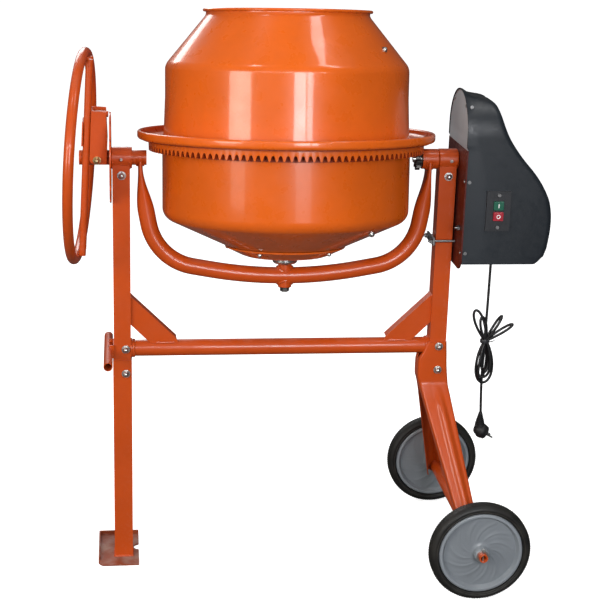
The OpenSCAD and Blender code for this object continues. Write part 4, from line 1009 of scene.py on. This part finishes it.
def studio():
    """Soft light that is stronger from the left and dim in mirror reflections, on a white backdrop."""
    bpy.context.scene.view_settings.view_transform = "Standard"
    world = bpy.data.worlds.new("studio")
    bpy.context.scene.world = world
    world.use_nodes = True
    tree = world.node_tree
    back = tree.nodes["Background"]
    aim = tree.nodes.new("ShaderNodeTexCoord")
    split = tree.nodes.new("ShaderNodeSeparateXYZ")
    fade = tree.nodes.new("ShaderNodeMapRange")
    path = tree.nodes.new("ShaderNodeLightPath")
    dim = tree.nodes.new("ShaderNodeMapRange")
    level = tree.nodes.new("ShaderNodeMath")
    level.operation = "MULTIPLY"
    tree.links.new(aim.outputs["Generated"], split.inputs[0])
    tree.links.new(split.outputs[0], fade.inputs[0])
    for key, value in {1: -1.0, 2: 1.0, 3: AMBIENT_LEFT, 4: AMBIENT_RIGHT}.items():
        fade.inputs[key].default_value = value
    tree.links.new(path.outputs["Is Glossy Ray"], dim.inputs[0])
    for key, value in {1: 0.0, 2: 1.0, 3: 1.0, 4: MIRRORED_ROOM}.items():
        dim.inputs[key].default_value = value
    tree.links.new(fade.outputs[0], level.inputs[0])
    tree.links.new(dim.outputs[0], level.inputs[1])
    seen = tree.nodes.new("ShaderNodeMath")
    seen.operation = "MAXIMUM"
    tree.links.new(level.outputs[0], seen.inputs[0])
    tree.links.new(path.outputs["Is Camera Ray"], seen.inputs[1])
    tree.links.new(seen.outputs[0], back.inputs[1])
    tint = tree.nodes.new("ShaderNodeMix")
    tint.data_type = "RGBA"
    tint.inputs[6].default_value = AMBIENT_TINT
    tint.inputs[7].default_value = rgb(1.0, 1.0, 1.0)
    tree.links.new(path.outputs["Is Camera Ray"], tint.inputs[0])
    tree.links.new(tint.outputs[2], back.inputs[0])


def area_light(name, where, size, power, colour=(1, 1, 1)):
    """A rectangular lamp in metres and watts, aimed at the middle of the tilting axis."""
    data = bpy.data.lights.new(name, "AREA")
    data.shape = "RECTANGLE"
    data.size, data.size_y = size
    data.energy = power
    data.color = colour
    light = bpy.data.objects.new(name, data)
    bpy.context.scene.collection.objects.link(light)
    light.location = where
    light.rotation_mode = "QUATERNION"
    light.rotation_quaternion = (TRUNNION - where).to_track_quat("-Z", "Y")


def lights():
    warm, cool = (1.0, 0.95, 0.86), (0.95, 0.96, 1.0)
    area_light("left_window", at(-2560, -2250, 1660), (1.25, 0.95), 40, warm)
    area_light("left_window_low", at(-2590, -2290, 960), (0.8, 0.45), 2.6, warm)
    area_light("right_window", at(300, -3420, 1660), (0.62, 0.95), 34, cool)
    area_light("right_window_side", at(820, -3310, 1660), (0.3, 0.95), 14, cool)
    area_light("right_window_low", at(520, -3380, 960), (0.8, 0.45), 2.2, cool)
    area_light("high_strip", at(-200, -3300, 2250), (4.2, 0.1), 31)
    area_light("sky_right", at(1230, -820, 3600), (0.42, 1.0), 15)
    area_light("sky_left", at(-1250, -930, 3600), (0.35, 0.4), 7)
    area_light("back_rim", at(-900, 2600, 2300), (1.6, 1.2), 32)


CAMERA_SPOT = (-377.2, -3268.8, 1658.8)
CAMERA_YAW, CAMERA_PITCH, CAMERA_ROLL = 0.1276, 0.2954, 0.03


def camera():
    data = bpy.data.cameras.new("camera")
    made = bpy.data.objects.new("camera", data)
    bpy.context.scene.collection.objects.link(made)
    data.lens = 86.45
    data.sensor_width = 36.0
    yaw, pitch, roll = CAMERA_YAW, CAMERA_PITCH, CAMERA_ROLL
    level = math.cos(pitch)
    ahead = Vector((math.sin(yaw) * level, math.cos(yaw) * level, -math.sin(pitch)))
    side = Vector((math.cos(yaw), -math.sin(yaw), 0))
    head = side.cross(ahead)
    right = side * math.cos(roll) + head * math.sin(roll)
    up = head * math.cos(roll) - side * math.sin(roll)
    turn = Matrix((right, up, -ahead)).transposed()
    made.matrix_world = Matrix.Translation(at(*CAMERA_SPOT)) @ turn.to_4x4()
    bpy.context.scene.camera = made


dress_cad_nodes()
drum()
yoke()
fork()
wheel("front", -1)
wheel("rear", 1)
handwheel()
cover()
cord()
plug()
marks()
frame_welds()
yoke_welds()
stage()
studio()
lights()
camera()

bpy.context.view_layer.update()
